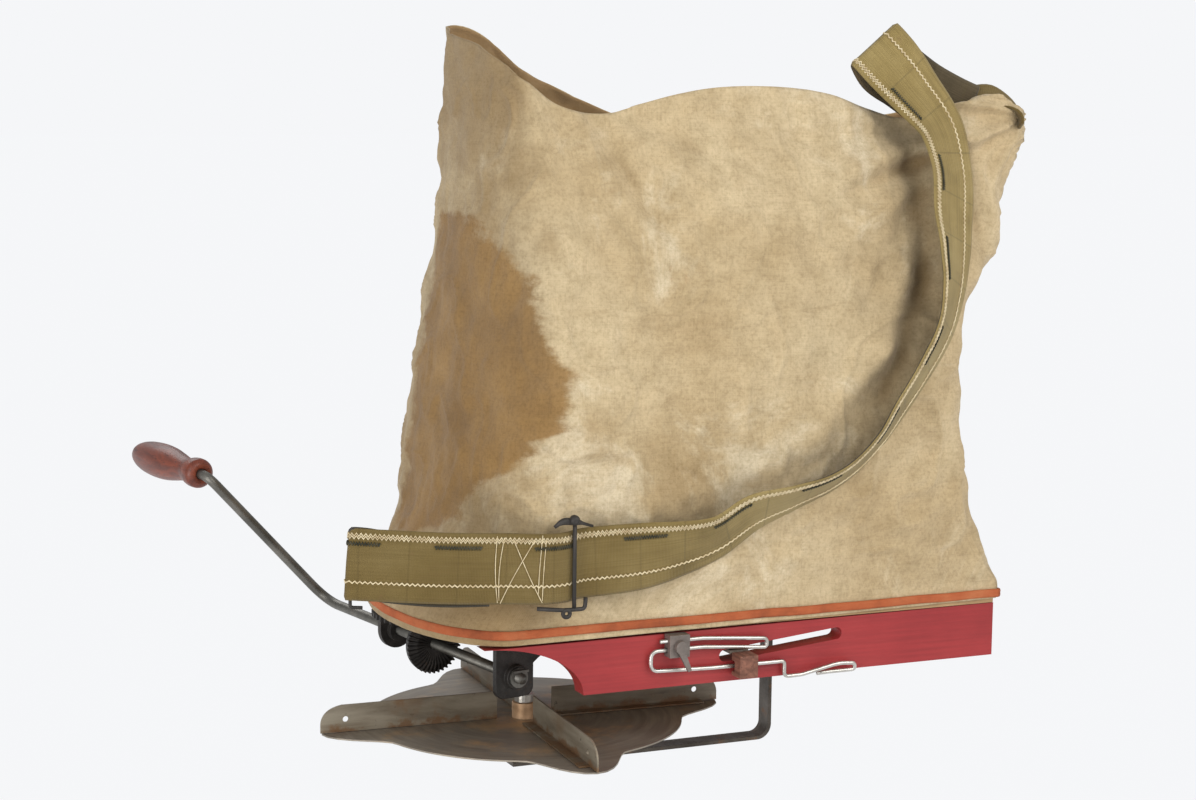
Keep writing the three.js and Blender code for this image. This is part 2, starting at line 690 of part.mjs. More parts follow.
// The plate that the seed falls through, under the board's square opening.
function feedPlate() {
  const { x, radius, plateHalf, plateThick } = feed;
  const top = underBoard;
  const plain = boxBetween([x - plateHalf, -plateHalf, top - plateThick], [x + plateHalf, plateHalf, top]);
  return cut(plain, post(x, 0, radius, top - plateThick - 1, top + 1, 28));
}

function gateGuide(side) {
  const inner = gate.halfWidth + gap;
  const low = gate.z - gate.thick / 2 - gap;
  const profile = [[inner, underBoard], [inner + 9, underBoard], [inner + 9, low - 2], [inner - 5, low - 2],
    [inner - 5, low], [inner, low]];
  const points = side < 0 ? profile.map(([y, z]) => [-y, z]).reverse() : profile;
  const start = 84;
  const end = side < 0 ? 160 : 214;
  return extruded(shapeOf(points), end - start).rotateX(Math.PI / 2).rotateZ(Math.PI / 2).translate(start, 0, 0);
}

function gateBlock() {
  const body = boxBetween([block.left, block.front, block.bottom], [block.right, block.back, block.top]);
  const groove = boxBetween(
    [block.left - 1, wire.y - 2.6, -41], [block.right + 1, block.back + 1, -33.5]);
  return cut(body, groove);
}

function gaugeWire() {
  const y = wire.y;
  const corners = [
    [110, y, -14.2], [145, y, -14.2], [197, y, -18.6], [197, y, -25.4], [145, y, -20.8],
    [103, y, -20.8], [103, y, -35.4], [150, y, -37], [212, y, -37.2], [212, y, -49], [226, y - 1, -48.6],
    [256, y - 3, -42], [270, y - 3, -43], [271, y - 1, -48.5], [250, y + 0.6, -48.9], [240, y + 0.6, -49.2],
  ];
  const rounding = [4, 3.3, 3.3, 4, 6, 6, 4, 3, 4, 3, 6, 3, 2.6, 4];
  return rodAlong(roundedPath(corners, rounding), wire.radius, 6, 105);
}

function gaugeClamp() {
  const body = boxBetween([clamp.left, clamp.front, clamp.bottom], [clamp.right, clamp.back, clamp.top]);
  const runs = [-14.2, -20.8].map((z) => (
    boxBetween([clamp.left - 1, wire.y - 2, z - 2], [clamp.right + 1, wire.y + 2, z + 2])));
  const screwHole = new THREE.CylinderGeometry(2.2, 2.2, 12, 12).translate(123, clamp.front, -17.5);
  return cut(body, ...runs, screwHole);
}

function thumbScrew() {
  const front = clamp.front - gap;
  const head = new THREE.CylinderGeometry(5, 5, 4, 16).translate(0, front - 2, 0);
  const shank = new THREE.CylinderGeometry(1.9, 1.9, 5, 12).translate(0, front + 2.2, 0);
  const tail = wall(shapeOf([[-3, -3], [2.6, -3], [8, -17], [5.4, -18.4]]), front - 3.6, 2.6);
  return join(head, shank, tail).translate(123, 0, -17.5);
}

// ---- assembly ----
const seeder = new THREE.Group();
const crankGroup = new THREE.Group();
const spinner = new THREE.Group();
shaftFrame().decompose(crankGroup.position, crankGroup.quaternion, crankGroup.scale);
spinner.position.set(spindleX, 0, 0);

const [frameBoltA, frameBoltB] = frameBoltPlaces();
const [hangerBoltA, hangerBoltB] = hangerBoltPlaces();
const footBoltPlaces = [nearPlace + 9, farPlace - 9].flatMap((place) => footBolts.map((x) => {
  const point = new THREE.Vector3(x, 0, place).applyMatrix4(shaftFrame());
  return [point.x, point.y];
}));
const screwNames = ['near_bracket_screw_a', 'near_bracket_screw_b', 'far_bracket_screw_a', 'far_bracket_screw_b'];
const footHeadTop = underBoard - frameDepth - gap;
const barHeadTop = underBoard - hanger.thick - gap;

seeder.add(
  node('base_board', baseBoard(spindleX, [frameBoltA, frameBoltB, hangerBoltA, hangerBoltB, ...footBoltPlaces]), boardPaint),
  node('near_rail', nearRail(), redPaint),
  node('far_rail', farRail(), redPaint),
  node('binding_tape', bindingTape(), tapePaint),
  node('canvas_bag', canvasBag(), canvasPaint),
  node('shoulder_strap', shoulderStrap(), webbingPaint),
  node('strap_fold', strapFold(), webbingPaint),
  node('strap_buckle', strapBuckle(), ironPaint),
  node('strap_end_bar', strapEndBar(), ironPaint),
  node('gear_frame', gearFrame(), ironPaint),
  node('gear_stud', gearStud(), steelPaint),
  node('hanger_bar', hangerBar(), ironPaint),
  node('step_bearing', stepBearing(), ironPaint),
  node('feed_plate', feedPlate(), zincPaint),
  node('near_gate_guide', gateGuide(-1), zincPaint),
  node('far_gate_guide', gateGuide(1), zincPaint),
  node('gauge_clamp', gaugeClamp(), zincPaint),
  node('frame_screw_a', woodScrew(...frameBoltA, footHeadTop), steelPaint),
  node('frame_screw_b', woodScrew(...frameBoltB, footHeadTop), steelPaint),
  node('hanger_screw_a', woodScrew(...hangerBoltA, barHeadTop), steelPaint),
  node('hanger_screw_b', woodScrew(...hangerBoltB, barHeadTop), steelPaint),
  node('feed_gate', feedGate(), sheetPaint),
  node('gate_block', gateBlock(), blockPaint),
  node('gauge_wire', gaugeWire(), steelPaint),
  node('thumb_screw', thumbScrew(), zincPaint),
);
footBoltPlaces.forEach((place, i) => {
  seeder.add(node(screwNames[i], woodScrew(...place, footHeadTop), steelPaint));
});

crankGroup.add(
  node('near_crank_bracket', nearCrankBracket(), ironPaint),
  node('far_crank_bracket', farCrankBracket(), ironPaint),
  node('crank_rod', crankRod(), steelPaint),
  node('crank_gear', crankGear(), ironPaint),
  node('crank_washer', thrustWasher(), steelPaint),
  node('crank_cotter', cotterPin(), steelPaint),
  node('crank_grip', crankGrip(), gripPaint),
  node('grip_washer', gripWasher(), steelPaint),
);
const cluster = node('cluster_gear', clusterGear(), ironPaint);
cluster.position.copy(apex);
seeder.add(cluster);

spinner.add(
  node('spindle', post(0, 0, spindle.radius, spindle.bottom, spindle.top, 16), steelPaint),
  node('spindle_pinion', spindlePinion(), ironPaint),
  node('spindle_collar', sleeve(bore, 7.5, hub.high + gap, hub.high + 6, 20), steelPaint),
  node('distributor_hub', distributorHub(), hubPaint),
  node('hub_nut', hubNut(), steelPaint),
  node('distributor_plate', distributorPlate(), sheetPaint),
  node('agitator', agitator(), steelPaint),
);
['vane_a', 'vane_b', 'vane_c', 'vane_d'].forEach((name, i) => {
  spinner.add(node(name, distributorVane(i), sheetPaint));
});

seeder.add(crankGroup, spinner);
seeder.position.set(-hang.x, -hang.y, -hang.z);
const part = new THREE.Group();
part.add(seeder);

export default part;
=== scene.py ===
"""Looks of a shoulder-carried broadcast seed sower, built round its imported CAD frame."""
import json
import math

import bmesh
import bpy
import numpy as np
from mathutils import Matrix, Vector, noise

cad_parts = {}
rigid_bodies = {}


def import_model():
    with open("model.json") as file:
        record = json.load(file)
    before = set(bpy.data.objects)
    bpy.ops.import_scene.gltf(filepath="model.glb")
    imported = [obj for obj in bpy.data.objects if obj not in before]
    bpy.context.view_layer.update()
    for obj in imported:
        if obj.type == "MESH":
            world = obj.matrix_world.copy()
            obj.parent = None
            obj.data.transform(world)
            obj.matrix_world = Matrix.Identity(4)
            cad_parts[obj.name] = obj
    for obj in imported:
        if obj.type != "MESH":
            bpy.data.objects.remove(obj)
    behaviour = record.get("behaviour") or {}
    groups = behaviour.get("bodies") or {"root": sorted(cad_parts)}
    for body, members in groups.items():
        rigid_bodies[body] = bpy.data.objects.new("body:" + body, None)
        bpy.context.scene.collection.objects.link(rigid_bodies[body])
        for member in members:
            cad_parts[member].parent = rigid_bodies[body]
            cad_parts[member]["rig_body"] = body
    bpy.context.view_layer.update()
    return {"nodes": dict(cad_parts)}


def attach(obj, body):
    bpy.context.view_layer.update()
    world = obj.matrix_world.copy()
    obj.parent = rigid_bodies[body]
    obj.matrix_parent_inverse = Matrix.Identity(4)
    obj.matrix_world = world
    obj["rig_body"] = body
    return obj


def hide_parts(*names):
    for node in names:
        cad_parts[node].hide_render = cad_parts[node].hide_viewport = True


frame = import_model()

# Working millimetres: X from the nose centre to the square end, -Y the near side, Z above the tape.
HANG = (304.0, -69.0, 417.2)
SPINDLE_X = 53.6
BOARD_LENGTH = 398.0
BOARD_HALF = 120.0
NOSE = 60.0
STRAP_WIDTH = 50.0
STRAP_THICK = 2.2
SEWN_AT = 203.0
LAP_WIDTH = 34.0
CRANK_ACROSS = 106.5
CRANK_UP = 113.5
CRANK_AT = 186.0
CRANK_END = 325.0
GRIP_FROM = 198.0

# The camera: where it stands, which way it looks, its tilt to one side in degrees, and its lens.
CAMERA_PLACE = (-615.1, -1649.9, 389.1)
CAMERA_FORWARD = (0.39969, 0.90689, -0.13341)
CAMERA_TILT = 0.65
CAMERA_LENS = 72.24
SENSOR_WIDTH = 36.0

BACKDROP = (0.914, 0.922, 0.939, 1)
FLOOR_HEIGHT = -0.86
FLOOR_HALF = 30.0


def at(x, y, z):
    """A point in working millimetres, as a point in the row frame."""
    return Vector(((x - HANG[0]) / 1000, (y - HANG[1]) / 1000, (z - HANG[2]) / 1000))


# ---------------------------------------------------------------- camera, light, stage
def make_camera():
    data = bpy.data.cameras.new("camera")
    camera = bpy.data.objects.new("camera", data)
    bpy.context.scene.collection.objects.link(camera)
    data.sensor_width = SENSOR_WIDTH
    data.lens = CAMERA_LENS
    data.clip_end = 100.0
    forward = Vector(CAMERA_FORWARD).normalized()
    right = forward.cross(Vector((0, 0, 1))).normalized()
    up = right.cross(forward)
    roll = math.radians(CAMERA_TILT)
    side = right * math.cos(roll) + up * math.sin(roll)
    top = up * math.cos(roll) - right * math.sin(roll)
    turn = Matrix((side, top, -forward)).transposed()
    camera.matrix_world = Matrix.Translation(at(*CAMERA_PLACE)) @ turn.to_4x4()
    bpy.context.scene.camera = camera


def area_light(name, place, target, size, power, colour):
    data = bpy.data.lights.new(name, "AREA")
    data.shape = "RECTANGLE"
    data.size, data.size_y = size
    data.energy = power
    data.color = colour
    light = bpy.data.objects.new(name, data)
    bpy.context.scene.collection.objects.link(light)
    place = Vector(place)
    light.location = place
    light.rotation_mode = "QUATERNION"
    light.rotation_quaternion = (Vector(target) - place).to_track_quat("-Z", "Y")


def make_studio():
    scene = bpy.context.scene
    scene.view_settings.view_transform = "Standard"
    world = bpy.data.worlds.new("studio")
    scene.world = world
    world.use_nodes = True
    tree = world.node_tree
    lit = tree.nodes["Background"]
    lit.inputs["Color"].default_value = (0.93, 0.95, 0.97, 1)
    lit.inputs["Strength"].default_value = 0.52
    seen = tree.nodes.new("ShaderNodeBackground")
    seen.inputs["Color"].default_value = BACKDROP
    path = tree.nodes.new("ShaderNodeLightPath")
    both = tree.nodes.new("ShaderNodeMixShader")
    tree.links.new(path.outputs["Is Camera Ray"], both.inputs[0])
    tree.links.new(lit.outputs[0], both.inputs[1])
    tree.links.new(seen.outputs[0], both.inputs[2])
    tree.links.new(both.outputs[0], tree.nodes["World Output"].inputs["Surface"])
    middle = (-0.08, 0.05, -0.25)
    area_light("key", (0.9, -2.3, 1.35), middle, (2.6, 2.2), 62.0, (1.0, 0.985, 0.955))
    area_light("fill", (-2.2, -1.5, 0.4), middle, (1.2, 1.6), 16.0, (0.97, 0.985, 1.0))
    area_light("rim", (-0.4, 2.4, 1.3), middle, (1.6, 1.0), 14.0, (1.0, 1.0, 1.0))
    area_light("low", (-1.9, -0.8, -0.62), (-0.25, 0.0, -0.5), (0.9, 0.3), 8.0, (1.0, 0.99, 0.97))
    mesh = bpy.data.meshes.new("floor")
    square = ((-1, -1), (1, -1), (1, 1), (-1, 1))
    corners = [(x * FLOOR_HALF, y * FLOOR_HALF, FLOOR_HEIGHT) for x, y in square]
    mesh.from_pydata(corners, [], [(0, 1, 2, 3)])
    floor = bpy.data.objects.new("floor", mesh)
    scene.collection.objects.link(floor)
    pale = bpy.data.materials.new("floor")
    pale.use_nodes = True
    shader = pale.node_tree.nodes["Principled BSDF"]
    shader.inputs["Base Color"].default_value = (0.004, 0.004, 0.004, 1)
    shader.inputs["Emission Color"].default_value = BACKDROP
    shader.inputs["Emission Strength"].default_value = 1.0
    shader.inputs["Roughness"].default_value = 1.0
    shader.inputs["Specular IOR Level"].default_value = 0.0
    mesh.materials.append(pale)


# ---------------------------------------------------------------- shader helper
class Shade:
    """A material being built: short calls that add nodes and return sockets."""

    def __init__(self, name, roughness, metallic=0.0, specular=0.5, sheen=(0.0, 0.5)):
        self.material = bpy.data.materials.new(name)
        self.material.use_nodes = True
        self.tree = self.material.node_tree
        self.shader = self.tree.nodes["Principled BSDF"]
        self.shader.inputs["Roughness"].default_value = roughness
        self.shader.inputs["Metallic"].default_value = metallic
        self.shader.inputs["Specular IOR Level"].default_value = specular
        self.shader.inputs["Sheen Weight"].default_value = sheen[0]
        self.shader.inputs["Sheen Roughness"].default_value = sheen[1]
        self.place = self.add("ShaderNodeTexCoord").outputs["Object"]

    def add(self, kind, **settings):
        made = self.tree.nodes.new(kind)
        for name, value in settings.items():
            setattr(made, name, value)
        return made

    def feed(self, socket, value):
        if isinstance(value, bpy.types.NodeSocket):
            self.tree.links.new(value, socket)
        elif isinstance(value, tuple) and len(value) == 3 and socket.type == "RGBA":
            socket.default_value = (*value, 1)
        else:
            socket.default_value = value

    def uv(self, name):
        return self.add("ShaderNodeUVMap", uv_map=name).outputs["UV"]

    def value(self, name):
        return self.add("ShaderNodeAttribute", attribute_name=name).outputs["Fac"]

    def stretch(self, scale, where=None):
        mapping = self.add("ShaderNodeMapping")
        self.feed(mapping.inputs["Vector"], where or self.place)
        mapping.inputs["Scale"].default_value = scale
        return mapping.outputs["Vector"]

    def noise(self, scale, detail=4.0, rough=0.55, where=None, stretch=None, distortion=0.0):
        made = self.add("ShaderNodeTexNoise")
        source = self.stretch(stretch, where) if stretch else (where or self.place)
        self.feed(made.inputs["Vector"], source)
        made.inputs["Scale"].default_value = scale
        made.inputs["Detail"].default_value = detail
        made.inputs["Roughness"].default_value = rough
        made.inputs["Distortion"].default_value = distortion
        return made.outputs["Fac"]

    def maths(self, operation, one, other=0.0):
        made = self.add("ShaderNodeMath", operation=operation)
        self.feed(made.inputs[0], one)
        self.feed(made.inputs[1], other)
        return made.outputs[0]

    def times(self, one, other):
        return self.maths("MULTIPLY", one, other)

    def plus(self, one, other):
        return self.maths("ADD", one, other)

    def waves(self, value, pitch):
        """A sine of the value, from -1 to 1, that repeats at every pitch."""
        return self.maths("SINE", self.times(value, 2 * math.pi / pitch))

    def half_up(self, value):
        """From -1 to 1, brought to 0 to 1."""
        return self.plus(self.times(value, 0.5), 0.5)

    def step(self, value, low, high):
        made = self.add("ShaderNodeMapRange", interpolation_type="SMOOTHSTEP")
        self.feed(made.inputs["Value"], value)
        made.inputs["From Min"].default_value = low
        made.inputs["From Max"].default_value = high
        return made.outputs["Result"]

    def ramp(self, value, stops):
        made = self.add("ShaderNodeValToRGB")
        self.feed(made.inputs["Fac"], value)
        elements = made.color_ramp.elements
        while len(elements) < len(stops):
            elements.new(0.5)
        for element, (position, colour) in zip(elements, stops):
            element.position = position
            element.color = (*colour, 1)
        return made.outputs["Color"]

    def mix(self, share, one, other, blend="MIX"):
        made = self.add("ShaderNodeMix", data_type="RGBA", blend_type=blend)
        self.feed(made.inputs[0], share)
        self.feed(made.inputs[6], one)
        self.feed(made.inputs[7], other)
        return made.outputs[2]

    def over(self, tone, colour, mask, share):
        """Colour laid over the tone, where the mask is 1, at a share from 0 to 1."""
        return self.mix(self.times(mask, share), tone, colour)

    def tint(self, tone, value, stops):
        """The tone multiplied by a ramp of greys or colours."""
        return self.mix(1.0, tone, self.ramp(value, stops), "MULTIPLY")

    def spots(self, tone, colour, share, low, high, *grain, **more):
        """Colour over the tone in patches, where a noise rises from low to high."""
        return self.over(tone, colour, self.step(self.noise(*grain, **more), low, high), share)

    def axis(self, name, where=None):
        made = self.add("ShaderNodeSeparateXYZ")
        self.feed(made.inputs[0], where or self.place)
        return made.outputs[name]

    def join(self, x, y, z=0.0):
        made = self.add("ShaderNodeCombineXYZ")
        for socket, value in zip(made.inputs, (x, y, z)):
            self.feed(socket, value)
        return made.outputs[0]

    def bump(self, height, depth, under=None, strength=1.0):
        made = self.add("ShaderNodeBump")
        self.feed(made.inputs["Height"], height)
        made.inputs["Distance"].default_value = depth
        made.inputs["Strength"].default_value = strength
        if under is not None:
            self.feed(made.inputs["Normal"], under)
        return made.outputs["Normal"]

    def done(self, colour, roughness=None, normal=None):
        self.feed(self.shader.inputs["Base Color"], colour)
        if roughness is not None:
            self.feed(self.shader.inputs["Roughness"], roughness)
        if normal is not None:
            self.feed(self.shader.inputs["Normal"], normal)
        return self.material


# ---------------------------------------------------------------- materials
def weave(shade, where, pitch):
    """Height of a plain weave, from 0 to 1."""
    across = shade.waves(shade.axis("X", where), pitch)
    along = shade.waves(shade.axis("Y", where), pitch)
    return shade.half_up(shade.times(across, along))


def canvas_cloth(name, inside=False):
    s = Shade(name, roughness=0.93, specular=0.18, sheen=(0.12, 0.6))
    cloth = s.uv("cloth")
    broad = s.noise(7.0, 5, 0.6)
    tone = s.ramp(broad, [(0.28, (0.415, 0.3, 0.157)), (0.45, (0.523, 0.399, 0.231)),
                          (0.62, (0.593, 0.471, 0.291)), (0.78, (0.548, 0.426, 0.251))])
    tone = s.spots(tone, (0.332, 0.22, 0.101), 0.32, 0.52, 0.74, 17.0, 6, 0.62, distortion=0.4)
    tone = s.spots(tone, (0.207, 0.137, 0.067), 0.35, 0.66, 0.78, 120.0, 3, 0.6)
    tone = s.spots(tone, (0.76, 0.66, 0.48), 0.65, 0.52, 0.70, 11.0, 7, 0.68, distortion=0.6)
    tone = s.spots(tone, (0.34, 0.235, 0.115), 0.4, 0.54, 0.76, 1.0, 6, 0.68,
                   stretch=(22.0, 22.0, 95.0), distortion=0.5)
    mottle = s.noise(60.0, 6, 0.7)
    tone = s.tint(tone, mottle, [(0.3, (0.80, 0.78, 0.74)), (0.55, (1, 1, 1)), (0.72, (1.08, 1.08, 1.08))])
    tone = s.spots(tone, (0.349, 0.167, 0.0536), 0.4, 0.69, 0.80, 43.0, 4, 0.7, stretch=(1.0, 1.0, 0.35))
    # Dirt from the bag, with a painted shadow beside the strap and painted shade in the folds, laid on as
    # dark brown.
    grime_and_shade = s.plus(s.value("grime_and_shade"), s.times(s.noise(26.0, 6, 0.65), 0.9))
    grime_and_shade = s.step(grime_and_shade, 0.78, 1.45)
    tone = s.over(tone, (0.25, 0.155, 0.062), grime_and_shade, 0.75)
    ragged = s.noise(1.0, 7, 0.7, stretch=(22.0, 40.0, 60.0))
    edge = s.plus(s.value("stain"), s.times(ragged, 1.25))
    edge = s.step(edge, 0.92, 1.30)
    depth = s.ramp(s.noise(19.0, 6, 0.6), [(0.3, (0.182, 0.0904, 0.0216)),
                                           (0.55, (0.261, 0.137, 0.0348)), (0.75, (0.348, 0.19, 0.0523))])
    tone = s.over(tone, depth, edge, 0.88)
    grain = s.noise(420.0, 4, 0.65)
    tone = s.tint(tone, grain, [(0.34, (0.84, 0.82, 0.78)), (0.52, (1, 1, 1)), (0.7, (1.05, 1.05, 1.05))])
    long_slub = s.noise(1.0, 2, 0.5, where=cloth, stretch=(40.0, 1500.0, 1.0))
    cross_slub = s.noise(1.0, 2, 0.5, where=cloth, stretch=(1500.0, 40.0, 1.0))
    slub = s.plus(long_slub, cross_slub)
    tone = s.tint(tone, s.times(slub, 0.5), [(0.32, (0.87, 0.86, 0.84)), (0.5, (1, 1, 1)),
                                             (0.68, (1.05, 1.05, 1.04))])
    # Painted shade on the inside: the same canvas mixed most of the way to a dark brown.
    if inside:
        tone = s.mix(0.7, tone, (0.30, 0.165, 0.062))
    fine = weave(s, cloth, 0.0011)
    tone = s.over(tone, (0.30, 0.23, 0.13), fine, 0.16)
    relief = s.bump(s.noise(95.0, 5, 0.6), 0.0006, strength=0.6)
    relief = s.bump(slub, 0.0002, under=relief, strength=0.8)
    relief = s.bump(fine, 0.00022, under=relief, strength=0.8)
    return s.done(tone, normal=relief)


def tape_cloth():
    s = Shade("tape_cloth", roughness=0.85, specular=0.2)
    cloth = s.uv("cloth")
    tone = s.ramp(s.noise(22.0, 6, 0.65), [(0.3, (0.24, 0.062, 0.026)), (0.5, (0.47, 0.120, 0.045)),
                                           (0.7, (0.54, 0.185, 0.078))])
    tone = s.spots(tone, (0.17, 0.08, 0.04), 0.5, 0.58, 0.75, 60.0, 5, 0.6)
    fine = weave(s, cloth, 0.0009)
    tone = s.over(tone, (0.2, 0.07, 0.03), fine, 0.2)
    return s.done(tone, normal=s.bump(fine, 0.0003))


def webbing_cloth(name, face):
    s = Shade(name, roughness=0.88, specular=0.2, sheen=(0.15, 0.5))
    cloth = s.uv("cloth")
    # Painted shade on the back face: the same webbing in much darker tones throughout.
    if face:
        stops = [(0.3, (0.20, 0.142, 0.046)), (0.5, (0.285, 0.208, 0.074)), (0.72, (0.375, 0.285, 0.118))]
    else:
        stops = [(0.3, (0.038, 0.028, 0.014)), (0.5, (0.07, 0.052, 0.026)), (0.72, (0.14, 0.105, 0.058))]
    tone = s.ramp(s.noise(19.0, 6, 0.6), stops)
    rib = s.waves(s.axis("X", cloth), 0.0011)
    cord = s.waves(s.axis("Y", cloth), 0.0016)
    height = s.half_up(s.plus(s.times(rib, 0.7), s.times(cord, 0.3)))
    tone = s.over(tone, (0.13, 0.10, 0.045) if face else (0.03, 0.025, 0.015), height, 0.2)
    streak = s.noise(1.0, 3, 0.6, where=cloth, stretch=(12.0, 900.0, 1.0))
    tone = s.tint(tone, streak, [(0.3, (0.82, 0.81, 0.78)), (0.6, (1.06, 1.06, 1.06))])
    bars = s.step(s.waves(s.axis("X", cloth), 0.034), 0.985, 1.0)
    tone = s.over(tone, (0.11, 0.085, 0.035), bars, 0.32)
    # Darker up to 0.24 m along the strap, fading out by 0.42 m: partly its own wear and dirt, partly
    # painted shade where it faces away from the light.
    darkening = s.step(s.axis("X", cloth), 0.42, 0.24)
    tone = s.over(tone, (0.085, 0.052, 0.012) if face else (0.03, 0.025, 0.015), darkening, 0.62)
    tone = s.spots(tone, (0.16, 0.09, 0.04), 0.5, 0.6, 0.78, 70.0, 5, 0.65)
    return s.done(tone, normal=s.bump(height, 0.0003))


def thread_cotton(name, colour, dark):
    s = Shade(name, roughness=0.85, specular=0.2)
    tone = s.mix(s.step(s.noise(180.0, 4, 0.6), 0.35, 0.7), colour, dark)
    return s.done(tone, normal=s.bump(s.noise(1500.0, 2), 0.0002))


def red_paint():
    s = Shade("red_paint", roughness=0.42, specular=0.45)
    brush = s.noise(1.0, 4, 0.6, stretch=(14.0, 300.0, 420.0))
    tone = s.ramp(s.noise(9.0, 5, 0.6), [(0.3, (0.252, 0.0158, 0.0176)), (0.5, (0.315, 0.0234, 0.0244)),
                                         (0.72, (0.347, 0.0338, 0.0328))])
    tone = s.tint(tone, brush, [(0.3, (0.86, 0.84, 0.84)), (0.65, (1.05, 1.05, 1.05))])
    tone = s.spots(tone, (0.126, 0.0225, 0.0189), 0.55, 0.60, 0.82, 30.0, 7, 0.68, stretch=(0.6, 1.0, 1.4))
    height = s.axis("Z")
    low_edge = s.step(height, (-44.0 - HANG[2]) / 1000, (-50.0 - HANG[2]) / 1000)
    chip = s.plus(s.noise(85.0, 6, 0.7), s.times(low_edge, 0.13))
    chip = s.step(chip, 0.745, 0.775)
    tone = s.mix(chip, tone, (0.42, 0.26, 0.17))
    scratch = s.noise(1.0, 2, 0.5, stretch=(25.0, 60.0, 900.0), distortion=0.3)
    scratch = s.times(s.step(scratch, 0.70, 0.76), 0.35)
    tone = s.mix(scratch, tone, (0.416, 0.135, 0.118))
    rough = s.plus(s.times(s.noise(40.0, 4), 0.3), 0.3)
    relief = s.bump(brush, 0.0005, strength=0.6)
    relief = s.bump(s.maths("SUBTRACT", 1.0, chip), 0.0004, under=relief)
    return s.done(tone, rough, relief)


def wood(name, light, dark, grain, roughness, gloss=0.0):
    s = Shade(name, roughness=roughness, specular=0.4)
    s.shader.inputs["Coat Weight"].default_value = gloss
    s.shader.inputs["Coat Roughness"].default_value = 0.25
    lines = s.noise(1.0, 6, 0.62, stretch=grain, distortion=0.8)
    tone = s.ramp(lines, [(0.32, dark), (0.5, tuple((a + b) / 2 for a, b in zip(light, dark))),
                          (0.68, light)])
    # Dark pores along the grain, and worn spots in a darker tone.
    pore, darkening = (tuple(share * d for d in dark) for share in (0.45, 0.5))
    tone = s.spots(tone, pore, 0.6, 0.62, 0.72, 1.0, 2, 0.5, stretch=tuple(4 * g for g in grain))
    tone = s.spots(tone, darkening, 0.4, 0.60, 0.78, 48.0, 6, 0.65)
    relief = s.bump(lines, 0.0004, strength=0.5)
    return s.done(tone, normal=s.bump(s.noise(130.0, 4), 0.0003, under=relief, strength=0.5))


def metal(name, tones, rust, rust_from, roughness, metallic, pits=0.00015):
    s = Shade(name, roughness=roughness, metallic=metallic)
    tone = s.ramp(s.noise(38.0, 7, 0.66), list(zip((0.3, 0.5, 0.7), tones)))
    tone = s.spots(tone, rust, 0.8, rust_from, rust_from + 0.12, 75.0, 7, 0.7)
    rough = s.plus(s.times(s.noise(90.0, 4), 0.3), roughness - 0.12)
    relief = s.bump(s.noise(420.0, 4, 0.6), pits)
    return s.done(tone, rough, s.bump(s.noise(60.0, 3), 0.0004, under=relief, strength=0.35))


def sheet_metal():
    """Darkened sheet with streaks that run round the spindle and a rusty bloom near the hub."""
    s = Shade("sheet_metal", roughness=0.5, metallic=0.55)
    x = s.maths("SUBTRACT", s.axis("X"), (SPINDLE_X - HANG[0]) / 1000)
    y = s.maths("SUBTRACT", s.axis("Y"), -HANG[1] / 1000)
    radius = s.maths("SQRT", s.plus(s.times(x, x), s.times(y, y)))
    angle = s.maths("ARCTAN2", y, x)
    round_about = s.join(s.times(radius, 210.0), s.times(angle, 1.6), s.axis("Z"))
    streak = s.noise(1.0, 6, 0.65, where=round_about)
    tone = s.ramp(streak, [(0.28, (0.17, 0.145, 0.115)), (0.5, (0.26, 0.225, 0.185)),
                           (0.62, (0.33, 0.29, 0.235)), (0.78, (0.22, 0.18, 0.135))])
    tone = s.spots(tone, (0.345, 0.265, 0.184), 0.6, 0.5, 0.72, 13.0, 6, 0.62)
    bloom = s.maths("SUBTRACT", s.noise(28.0, 6, 0.66), s.times(radius, 2.2))
    bloom = s.step(bloom, 0.30, 0.58)
    tone = s.over(tone, (0.598, 0.38, 0.191), bloom, 0.75)
    tone = s.spots(tone, (0.161, 0.115, 0.0788), 0.6, 0.66, 0.76, 150.0, 6, 0.7)
    rough = s.plus(s.times(streak, 0.35), 0.3)
    relief = s.bump(s.noise(24.0, 3), 0.0012, strength=0.35)
    return s.done(tone, rough, s.bump(streak, 0.0002, under=relief, strength=0.5))


def vane_metal():
    """Darkened sheet with long smears, pits and rust that creeps up from its foot."""
    s = Shade("vane_metal", roughness=0.42, metallic=0.35)
    smear = s.noise(1.0, 6, 0.6, stretch=(9.0, 9.0, 60.0), distortion=0.4)
    tone = s.ramp(smear, [(0.30, (0.0929, 0.073, 0.0491)), (0.46, (0.195, 0.162, 0.116)),
                          (0.60, (0.278, 0.241, 0.18)), (0.76, (0.148, 0.108, 0.0681))])
    tone = s.spots(tone, (0.186, 0.112, 0.0579), 0.6, 0.50, 0.70, 21.0, 6, 0.65)
    foot = s.step(s.axis("Z"), (-84.0 - HANG[2]) / 1000, (-93.0 - HANG[2]) / 1000)
    creep = s.step(s.plus(s.noise(45.0, 6, 0.7), s.times(foot, 0.2)), 0.60, 0.76)
    tone = s.over(tone, (0.177, 0.0869, 0.034), creep, 0.8)
    tone = s.spots(tone, (0.051, 0.0332, 0.0204), 0.75, 0.62, 0.72, 170.0, 6, 0.7)
    rough = s.plus(s.times(s.noise(30.0, 5), 0.4), 0.34)
    relief = s.bump(s.noise(24.0, 3), 0.0012, strength=0.35)
    return s.done(tone, rough, s.bump(s.noise(200.0, 5, 0.65), 0.0003, under=relief, strength=0.6))


# Light, dark, how the grain is stretched, roughness and gloss.
WOODS = {
    "board_wood": ((0.50, 0.33, 0.17), (0.26, 0.15, 0.07), (9.0, 130.0, 130.0), 0.75),
    "grip_wood": ((0.235, 0.052, 0.024), (0.085, 0.020, 0.012), (150.0, 16.0, 150.0), 0.42, 0.12),
    "block_wood": ((0.26, 0.11, 0.07), (0.09, 0.035, 0.022), (180.0, 30.0, 180.0), 0.7),
}
